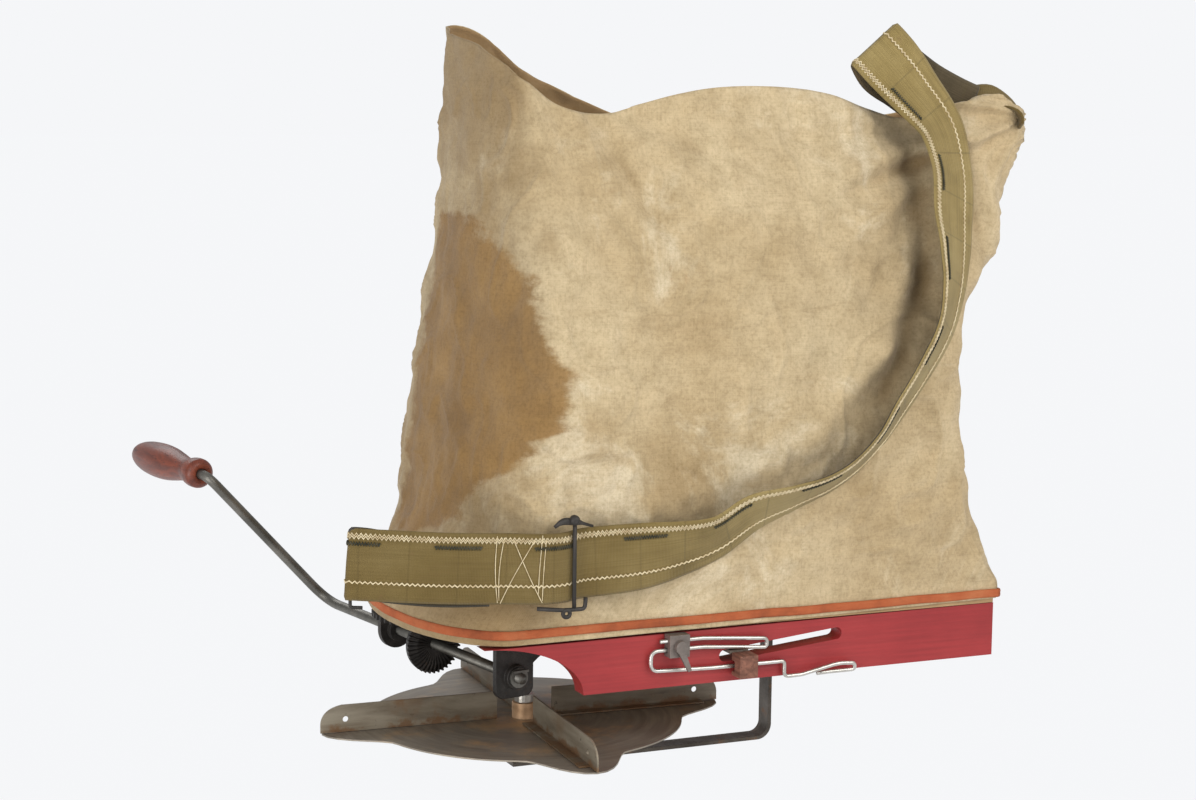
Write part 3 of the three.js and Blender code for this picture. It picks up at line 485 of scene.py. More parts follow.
# Three tones, rust, the noise at which rust starts, roughness, metallic and depth of the pits.
METALS = {
    "iron": ([(0.018, 0.016, 0.014), (0.035, 0.031, 0.028), (0.07, 0.06, 0.052)],
             (0.10, 0.055, 0.030), 0.60, 0.48, 0.45, 0.0004),
    "bar_iron": ([(0.042, 0.034, 0.028), (0.074, 0.062, 0.050), (0.12, 0.104, 0.088)],
                 (0.16, 0.085, 0.045), 0.56, 0.5, 0.6, 0.0003),
    "steel": ([(0.08, 0.075, 0.066), (0.145, 0.138, 0.122), (0.22, 0.205, 0.18)],
              (0.17, 0.10, 0.06), 0.63, 0.4, 0.8),
    "bright_steel": ([(0.38, 0.36, 0.32), (0.55, 0.53, 0.49), (0.70, 0.68, 0.64)],
                     (0.20, 0.13, 0.08), 0.64, 0.28, 0.9),
    "hub_bronze": ([(0.34, 0.20, 0.105), (0.62, 0.40, 0.23), (0.78, 0.55, 0.34)],
                   (0.20, 0.11, 0.055), 0.60, 0.42, 0.45),
    "zinc": ([(0.12, 0.105, 0.092), (0.21, 0.175, 0.155), (0.30, 0.25, 0.225)],
             (0.14, 0.10, 0.065), 0.62, 0.5, 0.6, 0.0004),
}


def make_materials():
    made = {
        "canvas": canvas_cloth("canvas_cloth"),
        "canvas_inside_shaded": canvas_cloth("canvas_inside_shaded", inside=True),
        "tape": tape_cloth(),
        "webbing": webbing_cloth("webbing_face", True),
        "webbing_back_shaded": webbing_cloth("webbing_back_shaded", False),
        "cream_thread": thread_cotton("cream_thread", (0.72, 0.61, 0.40), (0.52, 0.40, 0.23)),
        "dark_thread": thread_cotton("dark_thread", (0.035, 0.036, 0.026), (0.09, 0.08, 0.05)),
        "red_paint": red_paint(),
        "sheet": sheet_metal(),
        "vane": vane_metal(),
    }
    for name, values in WOODS.items():
        made[name] = wood(name, *values)
    for name, values in METALS.items():
        made[name] = metal(name, *values)
    return made


# ---------------------------------------------------------------- mesh helpers
def link(mesh, body, *materials):
    """A piece of the mesh's own name, which rides on a body."""
    made = bpy.data.objects.new(mesh.name, mesh)
    bpy.context.scene.collection.objects.link(made)
    for material in materials:
        mesh.materials.append(material)
    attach(made, body)
    return made


def stand_in(mesh, body, material, node):
    """A piece that takes the place of a CAD node."""
    piece = link(mesh, body, material)
    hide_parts(node)


def mesh_of(name, points, faces):
    mesh = bpy.data.meshes.new(name)
    mesh.from_pydata([tuple(p) for p in points], [], faces)
    mesh.polygons.foreach_set("use_smooth", [True] * len(mesh.polygons))
    mesh.update()
    return mesh


def set_uv(mesh, flat):
    mesh.uv_layers.new(name="cloth").data.foreach_set("uv", flat)


def grid_faces(rows, columns, wrap_rows=False, wrap_columns=False):
    faces = []
    for i in range(rows if wrap_rows else rows - 1):
        for j in range(columns if wrap_columns else columns - 1):
            a, b = i * columns + j, i * columns + (j + 1) % columns
            c, d = ((i + 1) % rows) * columns + (j + 1) % columns, ((i + 1) % rows) * columns + j
            faces.append((a, b, c, d))
    return faces


def spline(knots, values, wanted):
    """Smooth curve through values at the knots, for any number of columns."""
    knots = np.asarray(knots, float)
    values = np.asarray(values, float)
    slopes = np.gradient(values, knots, axis=0)
    wanted = np.asarray(wanted, float)
    i = np.clip(np.searchsorted(knots, wanted) - 1, 0, len(knots) - 2)
    span = knots[i + 1] - knots[i]
    t = np.clip((wanted - knots[i]) / span, 0, 1)
    if values.ndim > 1:
        t, span = t[:, None], span[:, None]
    return ((2 * t**3 - 3 * t**2 + 1) * values[i] + (t**3 - 2 * t**2 + t) * span * slopes[i]
            + (3 * t**2 - 2 * t**3) * values[i + 1] + (t**3 - t**2) * span * slopes[i + 1])


def rounded(corners, rounding, steps=10):
    """A polyline whose corners are rounded with arcs of curve."""
    corners = [Vector(c) for c in corners]
    points = [corners[0]]
    for i in range(1, len(corners) - 1):
        radius = rounding[i - 1] if isinstance(rounding, (list, tuple)) else rounding
        before = (corners[i - 1] - corners[i]).normalized() * radius
        after = (corners[i + 1] - corners[i]).normalized() * radius
        start, end = corners[i] + before, corners[i] + after
        for k in range(steps + 1):
            t = k / steps
            points.append(start * (1 - t) ** 2 + corners[i] * 2 * t * (1 - t) + end * t**2)
    points.append(corners[-1])
    return points


def tube_mesh(name, paths, radius, sides=16):
    """Round tubes along polylines of working points; radius may vary along a path."""
    points, faces = [], []
    for path in paths:
        path = [Vector(p) for p in path]
        count = len(path)
        normal = None
        first = len(points)
        for i, middle in enumerate(path):
            forward = (path[min(i + 1, count - 1)] - path[max(i - 1, 0)]).normalized()
            if normal is None:
                normal = forward.orthogonal().normalized()
            normal = (normal - forward * normal.dot(forward)).normalized()
            other = forward.cross(normal)
            size = radius(i / (count - 1)) if callable(radius) else radius
            for k in range(sides):
                angle = 2 * math.pi * k / sides
                offset = normal * math.cos(angle) + other * math.sin(angle)
                points.append(at(*(middle + offset * size)))
        faces += [tuple(first + q for q in face) for face in grid_faces(count, sides, wrap_columns=True)]
        faces.append(tuple(first + k for k in reversed(range(sides))))
        faces.append(tuple(first + (count - 1) * sides + k for k in range(sides)))
    return mesh_of(name, points, faces)


def lathe_mesh(name, profile, frame_of, sides=64):
    """A profile of [radius, height] turned about the Z axis of a working frame."""
    points = []
    for radius, height in profile:
        for k in range(sides):
            angle = 2 * math.pi * k / sides
            place = Vector((radius * math.cos(angle), radius * math.sin(angle), height))
            points.append(at(*(frame_of @ place)))
    faces = grid_faces(len(profile), sides, wrap_rows=True, wrap_columns=True)
    return mesh_of(name, points, faces)


def eased(node, width, material):
    """The CAD node with its sharp edges rounded, which stands for it."""
    source = frame["nodes"][node]
    mesh = source.data.copy()
    mesh.name = node + "_eased"
    mesh.materials.clear()
    made = bmesh.new()
    made.from_mesh(mesh)
    bmesh.ops.remove_doubles(made, verts=made.verts, dist=1e-6)
    bmesh.ops.dissolve_limit(made, angle_limit=math.radians(1.0), verts=made.verts, edges=made.edges)
    made.to_mesh(mesh)
    made.free()
    piece = link(mesh, source["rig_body"], material)
    bevel = piece.modifiers.new("ease", "BEVEL")
    bevel.width = width / 1000
    bevel.segments = 2
    bevel.limit_method = "ANGLE"
    bevel.angle_limit = math.radians(32)
    bevel.harden_normals = False
    mesh.polygons.foreach_set("use_smooth", [True] * len(mesh.polygons))
    weighted = piece.modifiers.new("normals", "WEIGHTED_NORMAL")
    weighted.keep_sharp = True
    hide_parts(node)


# ---------------------------------------------------------------- canvas bag
# The bag's outline at each height: z, nose tip, square end, near side, far side, depth of the nose.
LEVELS = np.array([
    (-8, -59.4, 397.4, -119.4, 119.4, 60), (6, -59.6, 397.6, -119.6, 119.6, 60),
    (14, -55, 392, -121, 121, 60), (50, -36, 380, -126, 126, 57), (130, -19, 362, -127, 126, 48),
    (210, -6, 367, -117, 116, 41), (290, 2, 408, -97, 98, 34), (340, 3, 418, -79, 81, 30),
    (385, 2, 424, -62, 64, 26),
], float)
# The mouth's edge on the near side and on the far side: x and z.
NEAR_RIM = np.array([
    (-10, 424), (8, 399), (29, 383), (50, 369), (76, 363), (96, 364), (115, 370), (163, 381),
    (213, 384), (272, 378), (306, 367), (337, 361), (365, 370), (398, 382), (424, 366),
], float)
FAR_RIM = np.array([
    (-10, 424), (34, 424), (58, 408), (71, 397), (104, 380), (129, 369), (160, 358), (220, 352),
    (300, 351), (424, 366),
], float)
BAG_ROWS = 190
HEM = -8
MOUTH = 385
# How far the stain reaches across the picture's plane at each height.
STAIN_EDGE = np.array([
    (66, -33), (80, -4), (96, 8), (110, 22), (117, 42), (127, 54), (137, 58), (143, 79), (160, 83),
    (182, 81), (200, 69), (228, 59), (253, 54), (267, 36), (284, 21), (304, 8), (318, -19), (330, -60),
    (430, -96),
], float)
# Dirty patches: x and z of the middle, width, height, and how dark.
GRIME_PATCHES = [(-5, 390, 45, 60, 0.4), (138, 322, 42, 18, 0.42), (352, 330, 34, 46, 0.4),
                 (20, 30, 70, 30, 0.4)]
# Folds on the near side: x and z of both ends, half width, height (a valley is negative).
FOLDS = [
    (-6, 405, -16, 250, 9, 3.5), (12, 392, 2, 290, 8, -3.5), (62, 362, 96, 300, 7, 3.0),
    (78, 362, 118, 286, 6, -3.0), (96, 366, 152, 340, 7, -3.5), (40, 350, 120, 372, 9, 2.5),
    (378, 352, 262, 318, 8, 4.5), (368, 336, 268, 302, 7, -5.0), (352, 322, 262, 268, 8, 3.5),
    (330, 300, 280, 226, 8, -3.0), (340, 352, 240, 346, 8, -3.0), (246, 128, 296, 172, 12, -3.5),
    (296, 172, 330, 236, 12, -4.0), (330, 236, 336, 318, 10, -4.0), (240, 150, 286, 190, 9, 3.5),
    (286, 190, 316, 250, 9, 3.5), (355, 215, 372, 90, 10, 4.0), (366, 330, 392, 230, 8, -4.5),
    (380, 345, 404, 262, 7, 4.0), (120, 92, 236, 132, 14, 4.0), (205, 262, 268, 305, 10, 2.5),
    (180, 205, 228, 262, 12, -2.0), (345, 60, 352, 5, 8, -2.5), (318, 50, 322, 6, 7, 1.6),
    (285, 48, 288, 6, 8, -1.6), (376, 70, 380, 8, 7, 2.5), (20, 330, 38, 240, 14, -2.0),
    (-35, 150, -10, 60, 14, 3.0), (40, 120, 75, 40, 14, -2.5), (150, 40, 250, 34, 9, 1.8),
    (262, 232, 296, 176, 10, 2.0), (330, 110, 380, 60, 9, -3.0), (300, 90, 372, 110, 8, 2.0),
]


def fold_height(x, z):
    """Sum of the near side's folds at arrays of x and z."""
    total = np.zeros_like(x)
    for x0, z0, x1, z1, half, height in FOLDS:
        dx, dz = x1 - x0, z1 - z0
        length = math.hypot(dx, dz)
        t = ((x - x0) * dx + (z - z0) * dz) / length**2
        off = ((x - x0) * dz - (z - z0) * dx) / length
        inside = np.clip(t, 0, 1)
        beyond = (t - inside) * length
        total += height * np.exp(-(off / half) ** 2 - (beyond / (2.2 * half)) ** 2)
    return total


def noise_at(points, scale, seed, octaves=3):
    """Fractal noise at an array of working points."""
    offset = Vector((seed * 17.3, seed * 5.1, seed * 9.7))
    flat = [noise.fractal(Vector(p) / scale + offset, 0.7, 2.1, octaves) for p in points]
    return np.array(flat)


def smooth_step(value, low, high):
    t = np.clip((value - low) / (high - low), 0, 1)
    return t * t * (3 - 2 * t)


def bag_plan():
    """Samples round the bag: section of the ring, and share along that section."""
    plan = []
    for section, count in (("far", 95), ("nose", 110), ("near", 170), ("near_corner", 12), ("end", 56),
                           ("far_corner", 12)):
        plan += [(section, i / count) for i in range(count)]
    return plan


def ring_point(section, share, nose, end, near, far, depth, corner):
    """A point of a level's outline and its outward normal."""
    middle, half = (near + far) / 2, (far - near) / 2
    start = nose + depth
    if section == "far":
        return end - corner + (start - end + corner) * share, far, 0.0, 1.0
    if section == "nose":
        angle = math.pi / 2 + share * math.pi
        x, y = depth * math.cos(angle), half * math.sin(angle)
        nx, ny = math.cos(angle) / depth, math.sin(angle) / half
        size = math.hypot(nx, ny)
        return start + x, middle + y, nx / size, ny / size
    if section == "near":
        return start + (end - corner - start) * share, near, 0.0, -1.0
    if section == "end":
        return end, near + corner + (far - near - 2 * corner) * share, 1.0, 0.0
    is_near = section == "near_corner"
    angle = (share - is_near) * math.pi / 2
    nx, ny = math.cos(angle), math.sin(angle)
    centre = near + corner if is_near else far - corner
    return end - corner + corner * nx, centre + corner * ny, nx, ny


def bag_points():
    """Outer surface of the bag as rows of points, with normals, from the hem to the mouth."""
    plan = bag_plan()
    share = np.linspace(0, 1, BAG_ROWS) ** 1.12
    level = HEM + share * (MOUTH - HEM)
    dims = spline(LEVELS[:, 0], LEVELS[:, 1:], level)
    corners = np.interp(level, (HEM, 12, 60, 200, MOUTH), (3, 4, 16, 24, 12))
    points = np.zeros((BAG_ROWS, len(plan), 3))
    normals = np.zeros((BAG_ROWS, len(plan), 3))
    for j, (section, along) in enumerate(plan):
        for i in range(BAG_ROWS):
            x, y, nx, ny = ring_point(section, along, *dims[i], corners[i])
            points[i, j, :2] = x, y
            normals[i, j, :2] = nx, ny
        x, y = ring_point(section, along, *dims[-1], corners[-1])[:2]
        side = (np.clip(y / 63, -1, 1) + 1) / 2
        top = (1 - side) * spline(NEAR_RIM[:, 0], NEAR_RIM[:, 1], [x])[0]
        top += side * spline(FAR_RIM[:, 0], FAR_RIM[:, 1], [x])[0]
        bottom = np.interp(points[0, j, 0], (-60, 140, 398), (-8.2, -7.2, -4.2))
        points[:, j, 2] = bottom + share * (top - bottom)
    return points, normals


def bag_relief(points, normals):
    """How far the cloth stands out from its plain shape, in millimetres."""
    rows, columns = points.shape[:2]
    flat = points.reshape(-1, 3)
    x, z = points[..., 0], points[..., 2]
    near = np.clip(-normals[..., 1], 0, 1)
    far = np.clip(normals[..., 1], 0, 1)
    loose = smooth_step(z, 3, 60)
    stretched = flat * np.array((1.0, 1.0, 0.55))
    broad = noise_at(stretched, 95.0, 1).reshape(rows, columns)
    middle = noise_at(flat + 40, 42.0, 2).reshape(rows, columns)
    sharp = noise_at(flat * np.array((1.0, 1.0, 0.8)), 60.0, 3, 2).reshape(rows, columns)
    crumple = np.maximum(0, 1 - np.abs(sharp) * 6) ** 2
    fine = noise_at(flat, 14.0, 4, 2).reshape(rows, columns)
    relief = loose * (4.5 * broad + 2.4 * middle + 2.2 * crumple) + 0.5 * fine
    relief += near * loose * fold_height(x, z)
    relief += far * loose * fold_height(BOARD_LENGTH - 45 - x, z * 0.96) * 0.8
    sag = np.sin(np.clip((x + 20) / 420, 0, 1) * math.pi)
    relief += (near + far) * sag * 5.0 * smooth_step(z, 20, 130) * (1 - smooth_step(z, 230, 370))
    ripple = np.sin(x / 9.5 + 2.1 * np.sin(x / 31)) * np.exp(-((z - 16) / 16) ** 2)
    relief += (near + far) * ripple * 0.8
    end = np.clip(normals[..., 0], 0, 1) ** 2
    dent = 1 - smooth_step(np.abs(z - 150), 30, 150)
    relief -= end * dent * 10 * (1 - (points[..., 1] / 125) ** 2)
    return relief


def gather_corner(points, normals):
    """Pulls the mouth's near corner out into the ear that the strap is sewn into."""
    ear = np.array((432.0, -78.0, 362.0))
    offset = points - np.array((414.0, -62.0, 368.0))
    distance = np.linalg.norm(offset, axis=-1)
    pull = np.exp(-(distance / 36) ** 2)[..., None]
    points += pull * (ear - np.array((416.0, -62.0, 366.0)))
    angle = np.arctan2(offset[..., 2], offset[..., 0] + offset[..., 1])
    pleat = np.sin(angle * 11 + 0.7) + 0.6 * np.sin(angle * 23 + 2.0)
    pleat *= np.exp(-((distance - 40) / 36) ** 2)
    return points + normals * (pleat * 3.4)[..., None]


def stain_of(points):
    """1 well inside the brown stain over the nose's near side, falling to 0 over its edge."""
    x, y, z = points[..., 0], points[..., 1], points[..., 2]
    across = 0.907 * x - 0.4 * y
    height = z + 0.147 * (y + 122)
    reach = np.interp(height, STAIN_EDGE[:, 0], STAIN_EDGE[:, 1])
    inside = np.clip((reach - across) / 34 + 0.5, 0, 1)
    inside *= smooth_step(height, 58, 84) * (1 - smooth_step(height, 300, 330))
    return inside * (1 - smooth_step(y, 20, 95))


def grime_and_shade_of(points, normals):
    """How dark the cloth is made: dirt at the nose, in a few patches and along the hem, a painted shadow
    along the strap's left edge, and painted shade that darkens the folds' valleys and lightens their
    ridges.
    """
    x, z = points[..., 0], points[..., 2]
    grime_and_shade = (1 - smooth_step(x, -20, 70)) * 0.72 + (1 - smooth_step(z, -8, 3)) * 0.1
    for middle, height, wide, tall, share in GRIME_PATCHES:
        grime_and_shade += np.exp(-((x - middle) / wide) ** 2 - ((z - height) / tall) ** 2) * share
    # Painted shadow: a dark streak along the strap's left edge.
    grime_and_shade += np.exp(-((x - 306 - (z - 200) * 0.35) / 11) ** 2 - ((z - 210) / 80) ** 2) * 0.3
    # Painted shade from the near side's folds: darker in the valleys, lighter on the ridges.
    folds = np.clip(-normals[..., 1], 0, 1) * smooth_step(z, 3, 60) * fold_height(x, z)
    return grime_and_shade + np.where(folds < 0, -0.11 * folds, -0.05 * folds)


def canvas_bag(materials):
    points, normals = bag_points()
    rows, columns = points.shape[:2]
    points = points + normals * bag_relief(points, normals)[..., None]
    points = gather_corner(points, normals)
    rolled = smooth_step(np.linspace(0, 1, rows), 0.968, 0.975)[:, None, None]
    points = points + normals * rolled * 0.9
    steps = np.linalg.norm(np.diff(points, axis=1, append=points[:, :1]), axis=-1)
    around = np.concatenate([np.zeros((rows, 1)), np.cumsum(steps, axis=1)], axis=1)
    mesh = mesh_of("canvas_bag_cloth", [at(*p) for p in points.reshape(-1, 3)],
                   grid_faces(rows, columns, wrap_columns=True))
    uvs = []
    for i in range(rows - 1):
        for j in range(columns):
            low, high = points[i, j, 2] / 1000, points[i + 1, j, 2] / 1000
            a, b = around[rows // 2, j] / 1000, around[rows // 2, j + 1] / 1000
            uvs += [a, low, b, low, b, high, a, high]
    set_uv(mesh, uvs)
    for name, value in (("stain", stain_of(points)), ("grime_and_shade", grime_and_shade_of(points, normals))):
        mesh.attributes.new(name, "FLOAT", "POINT").data.foreach_set("value", value.ravel())
    bag = link(mesh, "frame", materials["canvas"], materials["canvas_inside_shaded"])
    solid = bag.modifiers.new("cloth", "SOLIDIFY")
    solid.thickness = 0.0014
    solid.offset = -1.0
    solid.material_offset = 1
    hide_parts("canvas_bag")


# ---------------------------------------------------------------- binding tape
def board_edge(step):
    """Points and outward normals round the board's outline."""
    length, half, nose = BOARD_LENGTH, BOARD_HALF, NOSE
    run = np.arange(0, length - 2, step)
    near, far = ([((x, y * half), (0, y)) for x in run] for y in (-1, 1))
    nose_steps = int(260 / step)
    angles = [math.pi / 2 + math.pi * (i + 1) / (nose_steps + 1) for i in range(nose_steps)]
    bow = []
    for a in angles:
        normal = Vector((math.cos(a) / nose, math.sin(a) / half)).normalized()
        bow.append(((nose * math.cos(a), half * math.sin(a)), tuple(normal)))
    turns = [-math.pi / 2 + math.pi / 2 * i / 6 for i in range(7)]
    corner = [((length - 2 + 2 * math.cos(a), -half + 2 + 2 * math.sin(a)), (math.cos(a), math.sin(a)))
              for a in turns]
    end = [((length, y), (1, 0)) for y in np.arange(-half + 4, half - 3, step)]
    last = [((x, -y), (nx, -ny)) for (x, y), (nx, ny) in reversed(corner)]
    return list(reversed(far)) + bow + near + corner + end + last


def binding_tape(materials):
    """Cloth tape round the board's edge, a little uneven."""
    edge = board_edge(3.0)
    section = [(-0.4, -3.1), (0.5, -3.3), (1.3, -2.9), (1.7, -1.6), (1.6, 0.0), (1.75, 1.7),
               (1.3, 3.0), (0.5, 3.3), (-0.4, 3.1)]
    points = []
    for (x, y), (nx, ny) in edge:
        sway = noise.noise(Vector((x, y, 0)) / 34) * 0.7
        swell = noise.noise(Vector((x, y, 50)) / 17) * 0.25
        for out, z in section:
            out += swell * (out > 0)
            points.append(at(x + nx * out, y + ny * out, z + sway))
    rows, columns = len(edge), len(section)
    mesh = mesh_of("binding_tape_cloth", points, grid_faces(rows, columns, True, True))
    uvs = []
    for polygon in mesh.polygons:
        for loop in polygon.loop_indices:
            vertex = mesh.loops[loop].vertex_index
            uvs += [vertex // columns * 0.003, vertex % columns * 0.001]
    set_uv(mesh, uvs)
    stand_in(mesh, "frame", materials["tape"], "binding_tape")


# ---------------------------------------------------------------- shoulder strap
# Middle and direction of width, from the tail behind the fold to the ear of the bag.
STRAP = [
    ((-26, -131.8, 50), (0, 0, 1)), ((-50, -128.2, 50.5), (0, 0, 1)),
    ((-72, -123.4, 52), (-0.02, 0, 1)), ((-95, -115.5, 54.5), (-0.06, 0, 1)),
    ((-112, -107.5, 57), (0.08, 0, 1)), ((-119.5, -105.6, 57.5), (0.1, 0, 1)),
    ((-121.6, -109, 57.5), (0.1, 0, 1)), ((-117, -112.5, 57.5), (0.1, 0, 1)),
    ((-95, -121.5, 56.5), (0.07, 0, 1)), ((-70, -129.5, 55), (0.03, 0, 1)),
    ((-20, -138.3, 52.5), (0, 0, 1)), ((28, -141.5, 51), (0, 0, 1)), ((38, -138.5, 52), (0, 0, 1)),
    ((56, -139.5, 53), (-0.05, 0, 1)), ((83, -140.5, 54), (-0.2, -0.1, 1)),
    ((112, -142, 57), (-0.35, -0.35, 0.85)), ((141, -145, 64), (-0.49, -0.54, 0.68)),
    ((169, -147, 80), (-0.53, -0.6, 0.6)), ((201, -150, 90), (-0.49, -0.74, 0.46)),
    ((230, -152, 100), (-0.5, -0.8, 0.36)), ((251, -152, 112), (-0.52, -0.8, 0.3)),
    ((270, -151, 129), (-0.55, -0.79, 0.27)), ((289, -150, 154), (-0.6, -0.75, 0.27)),
    ((311, -147, 182), (-0.64, -0.72, 0.28)), ((329, -143, 211), (-0.7, -0.68, 0.22)),
    ((338, -137, 238), (-0.77, -0.62, 0.15)), ((343, -129, 262), (-0.83, -0.54, 0.11)),
    ((348, -118, 287), (-0.9, -0.42, 0.08)), ((355, -102, 325), (-0.92, -0.38, 0)),
    ((350, -92, 356), (-0.89, -0.3, -0.2)), ((332, -83, 382), (-0.85, -0.15, -0.4)),
    ((314, -75.5, 404), (-0.76, 0, -0.65)), ((304, -69, 416), (-0.76, 0, -0.65)),
    ((314, -63, 404), (-0.76, 0, -0.65)), ((336, -57.5, 392), (-0.66, 0, -0.75)),
    ((361, -54.5, 378), (-0.5, 0, -0.85)), ((384, -53, 368), (-0.45, 0, -0.87)),
    ((400, -52.5, 362), (-0.45, 0, -0.87)),
]
# The strap's last turn, over the top of the bag's ear.
LAP = [
    ((392, -44, 368), (-0.2, 0.85, 0.5)), ((404, -52, 374), (-0.1, 0.85, 0.5)),
    ((415, -60, 376), (0, 0.85, 0.52)), ((424, -68, 371), (0.2, 0.85, 0.45)),
    ((428, -76, 362), (0.3, 0.85, 0.3)), ((427, -80, 352), (0.3, 0.85, 0.2)),
]


class Strap:
    """The strap's middle line, sampled evenly, with its width and face directions."""

    def __init__(self, stations, step=2.5):
        middles = np.array([s[0] for s in stations], float)
        widths = np.array([np.array(s[1], float) / np.linalg.norm(s[1]) for s in stations])
        knots = np.concatenate([[0], np.cumsum(np.linalg.norm(np.diff(middles, axis=0), axis=1))])
        dense = np.linspace(0, knots[-1], 4000)
        line = spline(knots, middles, dense)
        length = np.concatenate([[0], np.cumsum(np.linalg.norm(np.diff(line, axis=0), axis=1))])
        count = int(length[-1] / step) + 1
        self.s = np.linspace(0, length[-1], count)
        self.length = length[-1]
        self.middle = np.stack([np.interp(self.s, length, line[:, k]) for k in range(3)], axis=1)
        place = np.interp(self.s, length, dense)
        across = spline(knots, widths, place)
        along = np.gradient(self.middle, self.s, axis=0)
        along /= np.linalg.norm(along, axis=1, keepdims=True)
        across -= along * np.sum(across * along, axis=1, keepdims=True)
        self.across = across / np.linalg.norm(across, axis=1, keepdims=True)
        self.face = np.cross(along, self.across)

    def point(self, s, v, lift=0.0):
        """A point s along the strap, v across it, lift off its middle surface."""
        middle, across, face = (np.array([np.interp(s, self.s, line[:, k]) for k in range(3)])
                                for line in (self.middle, self.across, self.face))
        return middle + across * v + face * (lift + strap_sway(s, v))


def strap_sway(s, v):
    """Small unevenness of the webbing, out of its plane."""
    edge = abs(v) / (STRAP_WIDTH / 2)
    curl = edge**2 * 0.8 * noise.noise(Vector((s / 38, math.copysign(3, v), 0)))
    return curl + 0.3 * noise.noise(Vector((s / 21, v / 30, 5)))


def band_mesh(name, strap, width):
    """The webbing itself: two faces with slightly raised borders, closed at both ends."""
    columns = 21
    shares = np.linspace(-1, 1, columns)
    points, uvs_of = [], []
    for s in strap.s:
        for face in (1, -1):
            for share in (shares if face > 0 else shares[::-1]):
                v = share * width / 2
                half = STRAP_THICK / 2 * max(0.0, 1 - abs(share) ** 18) ** 0.5
                border = 0.25 * math.exp(-((abs(share) - 0.93) / 0.05) ** 2)
                points.append(at(*strap.point(s, v, face * (half + border))))
                uvs_of.append((s / 1000, v / 1000))
    around = 2 * columns
    faces = grid_faces(len(strap.s), around, wrap_columns=True)
    faces.append(tuple(reversed(range(around))))
    faces.append(tuple((len(strap.s) - 1) * around + k for k in range(around)))
    mesh = mesh_of(name, points, faces)
    flat = []
    for polygon in mesh.polygons:
        corner = [mesh.loops[i].vertex_index % around for i in polygon.loop_indices]
        polygon.material_index = 0 if max(corner) < columns else 1
        for loop in polygon.loop_indices:
            flat += uvs_of[mesh.loops[loop].vertex_index]
    set_uv(mesh, flat)
    bm = bmesh.new()
    bm.from_mesh(mesh)
    bmesh.ops.remove_doubles(bm, verts=bm.verts, dist=1e-6)
    bmesh.ops.recalc_face_normals(bm, faces=bm.faces)
    bm.to_mesh(mesh)
    bm.free()
    return mesh


def strap_band(strap, materials):
    mesh = band_mesh("shoulder_strap_webbing", strap, STRAP_WIDTH)
    band = link(mesh, "frame", materials["webbing"], materials["webbing_back_shaded"])
    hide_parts("shoulder_strap", "strap_fold")


def strap_lap(materials):
    """The strap's end where it turns over the ear of the bag."""
    mesh = band_mesh("strap_ear_lap", Strap(LAP), LAP_WIDTH)
    link(mesh, "frame", materials["webbing"], materials["webbing"])


def zigzag(strap, start, end, v, reach, pitch, lift):
    """A thread that goes from side to side of a line along the strap."""
    path = []
    s, side = start, 1
    while s < end:
        path.append(strap.point(s, v + side * reach, lift))
        s += pitch / 2
        side = -side
    return path


def strap_stitches(strap, materials):
    lift = STRAP_THICK / 2 + 0.32
    first, last = 4.0, strap.length - 6.0
    rows = [zigzag(strap, first, last, v, 1.1, 3.0, lift) for v in (20.8, 19.0)]
    rows.append(zigzag(strap, first, last, -12.0, 0.75, 3.6, lift))
    cream = tube_mesh("strap_cream_stitch", rows, 0.66, sides=5)
    link(cream, "frame", materials["cream_thread"])
    dashes = []
    start = 22.0
    while start < last - 40:
        dashes.append(zigzag(strap, start, start + 33, 14.6, 1.0, 1.9, lift))
        start += 70.0
    dark = tube_mesh("strap_dark_stitch", dashes, 0.9, sides=5)
    link(dark, "frame", materials["dark_thread"])


def strap_sewing(strap, materials):
    """Pale thread that sews the folded end down: a crossed box with loose stitches."""
    lift = STRAP_THICK / 2 + 0.5
    paths = []
    for s0, v0, s1, v1 in ((2, 23, 4, -23.5), (7, 22, 5, -22), (13, 21, 36, -23.5), (29, 22, 6, -24),
                           (37, 22, 36, -22), (34, 24, 33, -18)):
        steps = 16
        line = []
        for k in range(steps + 1):
            t = k / steps
            bow = math.sin(t * math.pi) * (1.5 if s0 < 10 else 0.4)
            line.append(strap.point(SEWN_AT + s0 + (s1 - s0) * t - bow, v0 + (v1 - v0) * t, lift))
        paths.append(line)
    link(tube_mesh("strap_sewing", paths, 0.32, sides=5), "frame", materials["cream_thread"])


